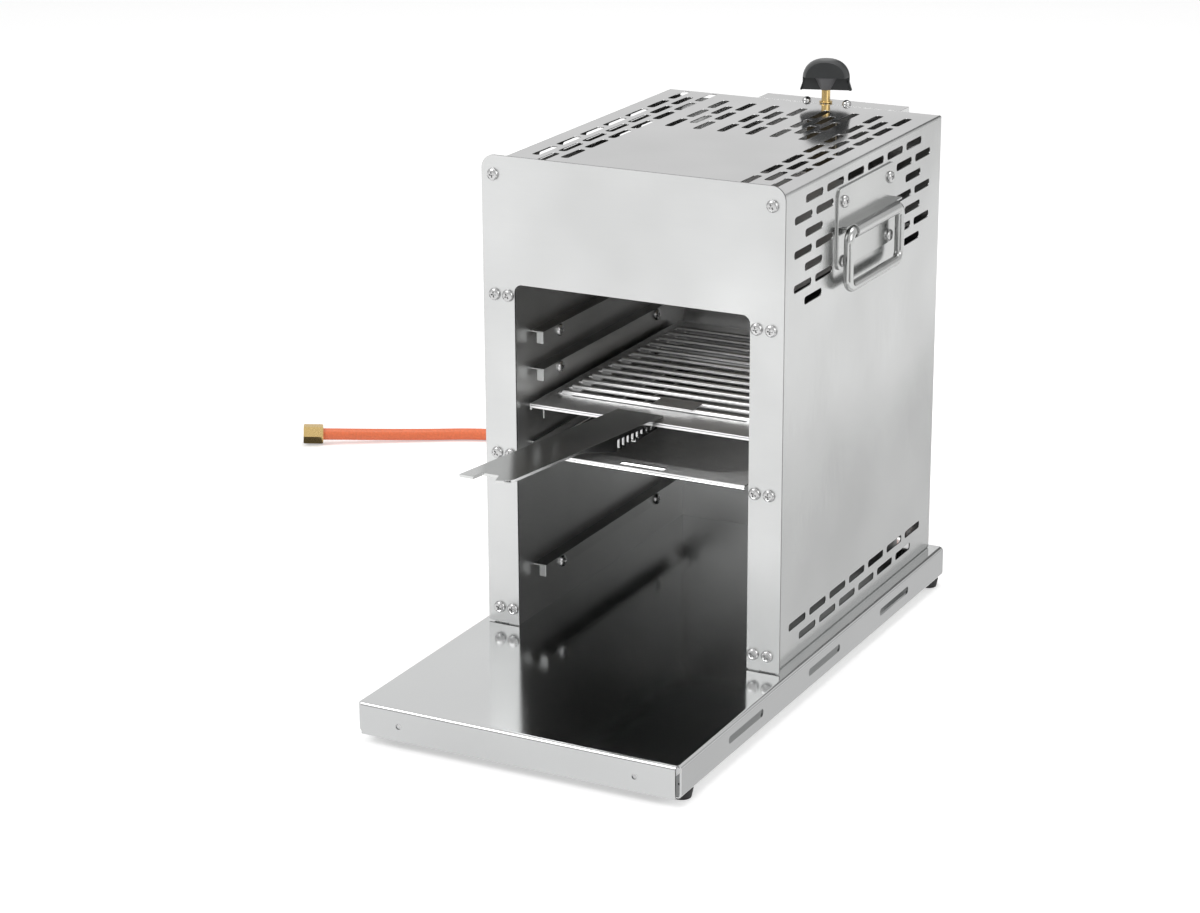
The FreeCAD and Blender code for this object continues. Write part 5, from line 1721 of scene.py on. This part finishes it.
@dataclass
class DripPan:
    """Pressed pan with a flat rim and rounded basin; sizes in millimetres."""

    rim_half: float = 89.0
    rim_front: float = 0.2
    rim_rear: float = 258.0
    rim_top: float = 136.65
    skin: float = 1.0
    basin_half: float = 80.0
    basin_front: float = 19.0
    basin_rear: float = 248.0
    corner: float = 27.0
    depth: float = 12.0
    fillet: float = 5.0
    mouth: float = 1.6
    wall_lean: float = 1.5
    slot: tuple[float, float, float, float] = (-12.0, 24.0, 4.5, 11.0)
    roll: float = 2.0
    roll_skin: float = 0.9

    def basin_loop(self, shrink: float, height: float) -> tuple[list[Point], float]:
        """Give the basin's outline at a height, drawn in by a distance.

        Args:
            shrink: How far it is drawn in.
            height: The height.

        Returns:
            The outline and the height.
        """
        radius = max(2.0, self.corner - shrink)
        loop = loop_box(
            shrink - self.basin_half, self.basin_half - shrink,
            self.basin_front + shrink, self.basin_rear - shrink, radius, 10,
        )
        return loop, height

    def basin_rings(self, offset: float) -> list[tuple[list[Point], float]]:
        """Give the rings of one face of the basin, from its mouth to its floor.

        Args:
            offset: Depth of the face in the sheet.

        Returns:
            The rings' outlines with their heights.
        """
        rings = []
        steps = 6
        mouth = self.mouth
        for step in range(steps + 1):
            angle = math.pi / 2.0 * step / steps
            shrink = offset - mouth + mouth * math.sin(angle)
            height = self.rim_top - offset - mouth * (1.0 - math.cos(angle))
            rings.append(self.basin_loop(shrink, height))
        floor = self.rim_top - self.depth + (self.skin - offset)
        for step in range(steps + 1):
            angle = math.pi / 2.0 * step / steps
            shrink = offset + self.wall_lean + self.fillet * (1.0 - math.cos(angle))
            height = floor + self.fillet * (1.0 - math.sin(angle))
            rings.append(self.basin_loop(shrink, height))
        return rings

    def pressing(self) -> Piece:
        """Build the pan's pressed sheet; its lower face and its slot's wall are marked dark for
        painted shade.

        Returns:
            The sheet.
        """
        work = bmesh.new()
        levels = list(enumerate((0.0, self.skin)))
        mouths = []
        for dark, offset in levels:
            rings = [
                [work.verts.new(at(u, v, height)) for u, v in loop]
                for loop, height in self.basin_rings(offset)
            ]
            for low, high in zip(rings, rings[1:]):
                for face in bridge(work, low, high):
                    face.material_index = dark
            work.faces.new(rings[-1]).material_index = dark
            mouths.append(rings[0])
        rims = []
        for dark, offset in levels:
            height = self.rim_top - offset
            loops = [
                loop_box(-self.rim_half, self.rim_half, self.rim_front, self.rim_rear, 3.0, 4),
                loop_box(*self.slot, 3.0, 5),
            ]
            rim = [[work.verts.new(at(u, v, height)) for u, v in loop] for loop in loops]
            loops.append(self.basin_loop(offset - self.mouth, height)[0])
            flat = [[Vector((u, v, 0.0)) for u, v in loop] for loop in loops]
            for face in fill(work, rim[0] + rim[1] + mouths[dark], tessellate_polygon(flat)):
                face.material_index = dark
            rims.append(rim)
        for dark, (one, two) in enumerate(zip(*rims)):
            for face in bridge(work, one, two):
                face.material_index = dark
        return solid("pan_sheet_metal", work, 30.0)

    def front_roll(self) -> Piece:
        """Build the half round that the rim's front edge is rolled into.

        Returns:
            The rolled edge.
        """
        steps = 10
        middle = self.rim_top - self.roll
        loop = []
        inner = self.roll - self.roll_skin
        for radius, order in ((self.roll, range(steps + 1)), (inner, range(steps, -1, -1))):
            for step in order:
                angle = math.pi * step / steps
                loop.append((self.roll - radius * math.sin(angle), middle + radius * math.cos(angle)))
        work = bmesh.new()
        add_sheet(
            work, [loop], self.rim_half * 2.0 - 1.0,
            lambda u, v, w: at(w - self.rim_half + 0.5, u, v), 0.0,
        )
        return solid("pan_front_roll", work, 30.0)

    def build(self) -> None:
        """Build the pan as one pressed sheet with a rolled front edge."""
        pan = self.pressing()
        marks = [face.material_index for face in pan.data.polygons]
        dress(pan, Finish.PAN_SHEET, "drip_pan", ["drip_pan"])
        # The marked faces get painted shade, a near-black finish.
        pan.data.materials.append(Finish.PAN_UNDER_SHADE.material())
        pan.data.polygons.foreach_set("material_index", marks)
        dress(self.front_roll(), Finish.BRIGHT_STEEL, "drip_pan")


@dataclass
class SideHandles:
    """Carrying handles on both walls."""

    fasteners: Fasteners
    face: float = 115.3
    screw_y: tuple[float, float] = (104.85, 188.15)
    screw_z: tuple[float, float] = (319.0, 276.0)

    def build(self) -> None:
        """Dress both handles."""
        for name, side, facing in (("left", -1, FACING_LEFT), ("right", 1, FACING_RIGHT)):
            dress_copy(f"handle_plate_{name}", f"handle_pad_{name}", 0.3, Finish.HANDLE_STEEL)
            dress_copy(
                f"bail_{name}", f"handle_bail_{name}", 0.0, Finish.HANDLE_STEEL,
                f"{name}_bail", 40.0,
            )
            places = [at(self.face * side, y, z) for y in self.screw_y for z in self.screw_z]
            replaces = ["handle_screws"] if side > 0 else []
            self.fasteners.put(f"handle_screw_heads_{name}", places, facing, HOUSING, replaces, 5)


@dataclass
class GasValve:
    """Valve, bracket, spindle and knob; sizes in millimetres."""

    fasteners: Fasteners
    x: float = 17.0
    y: float = 297.0
    tab_top: float = 344.4
    knob_base: float = 354.5
    dome_radius: float = 18.0
    edge: float = 14.0
    skirt_radius: float = 19.9
    knob_height: float = 23.4
    visor: float = 10.5
    visor_face: float = -10.0
    web_face: float = -3.0
    turn: float = 18.0
    screw_reach: float = 16.6
    screw_behind: float = 1.5
    bracket_screws: tuple[float, float] = (-26.0, 66.0)
    bracket_screw_rows: tuple[float, float] = (311.0, 331.0)
    bracket_back: float = 293.5

    def place(self, u: float, v: float, w: float) -> Vector:
        """Put a point of the knob's own unturned measures into the model."""
        return at(self.x + u, self.y + v, self.knob_base + w)

    def turned(self, u: float, v: float, w: float) -> Vector:
        """Put a point of the knob's own measures into the model, turned as the knob is."""
        turn = Matrix.Rotation(math.radians(self.turn), 3, "Z")
        return self.place(*(turn @ Vector((u, v, w))))

    def knob(self) -> Piece:
        """Build the knob: a dome with a flared skirt and an open front under a visor.

        Returns:
            The knob.
        """
        steps = 12
        crown = self.dome_radius - self.edge
        outer = [(0.0, self.knob_height)]
        for step in range(steps + 1):
            angle = math.pi / 2.0 * step / steps
            height = self.knob_height - self.edge * (1.0 - math.cos(angle))
            outer.append((crown + self.edge * math.sin(angle), height))
        outer += [(18.0, 6.0), (18.7, 3.8), (19.4, 1.6), (self.skirt_radius, 0.25), (19.6, 0.0)]
        inner = [(18.4, 0.0), (18.1, 0.4), (16.6, 6.0), (16.2, 9.0), (15.2, 10.0)]
        knob = lathe("knob_dome", outer + inner + [(0.0, 10.0)], self.place, 72)
        front = -self.skirt_radius - 2.0
        step = self.visor_face
        loop = [
            (front, -2.0), (self.web_face, -2.0), (self.web_face, self.visor),
            (step, self.visor), (step + 1.5, 30.0), (front, 30.0),
        ]
        cutter = sheet(
            "knob_window_cutter", [loop], 50.0, lambda u, v, w: self.turned(w - 25.0, u, v), 0.0
        )
        cut_away(knob, cutter)
        return knob

    def web(self) -> Piece:
        """Build the wall that closes the knob's open front behind the hub.

        Returns:
            The wall.
        """
        loop = [(-19.2, 0.3), (19.2, 0.3), (17.2, 5.8), (16.9, 10.8), (-16.9, 10.8), (-17.2, 5.8)]
        return sheet(
            "knob_web", [loop], 1.5, lambda u, v, w: self.turned(u, w + self.web_face, v), 0.1
        )

    def hub(self) -> Piece:
        """Build the funnel-shaped hub inside the knob.

        Returns:
            The hub.
        """
        profile = [
            (0.0, 10.6), (9.2, 10.6), (8.6, 9.0), (5.8, 3.0), (4.8, 0.6), (4.4, 0.2),
            (3.6, 0.2), (3.6, 10.2), (0.0, 10.2),
        ]
        return lathe("knob_hub", profile, self.place, 48)

    def build(self) -> None:
        """Build the valve and what turns on it."""
        dress_copy("valve_body", "valve_block", 0.5, Finish.DARK_BRASS)
        dress_copy("valve_bracket", "valve_tab", 0.25, Finish.ROOF_SHEET)
        dress_copy("valve_spindle", "valve_stem", 0.3, Finish.BRASS, "knob")
        dress(self.knob(), Finish.KNOB_PLASTIC, "knob", ["control_knob"])
        dress(self.web(), Finish.KNOB_PLASTIC, "knob")
        dress(self.hub(), Finish.HUB_PLASTIC, "knob")
        behind = self.y + self.screw_behind
        reaches = (-self.screw_reach, self.screw_reach)
        places = [at(self.x + reach, behind, self.tab_top) for reach in reaches]
        self.fasteners.put("valve_screw_heads", places, FACING_UP, HOUSING, (), 2, True)
        rows = self.bracket_screw_rows
        places = [at(x, self.bracket_back, z) for x in self.bracket_screws for z in rows]
        self.fasteners.put("bracket_screw_heads", places, FACING_BACK, HOUSING, (), 4)


def main() -> None:
    """Build the studio and every sub-assembly."""
    logging.basicConfig(level=logging.INFO, format="%(name)s: %(message)s")
    Studio().build()
    GasHose().build()
    fasteners = Fasteners()
    fasteners.prepare()
    for assembly in (
        BaseTray(),
        Housing(fasteners),
        Chamber(fasteners),
        Burner(),
        Grate(),
        Lifter(),
        DripPan(),
        SideHandles(fasteners),
        GasValve(fasteners),
    ):
        assembly.build()
        LOG.info("built %s", type(assembly).__name__)
    fasteners.close()


if __name__ == "__main__":
    main()
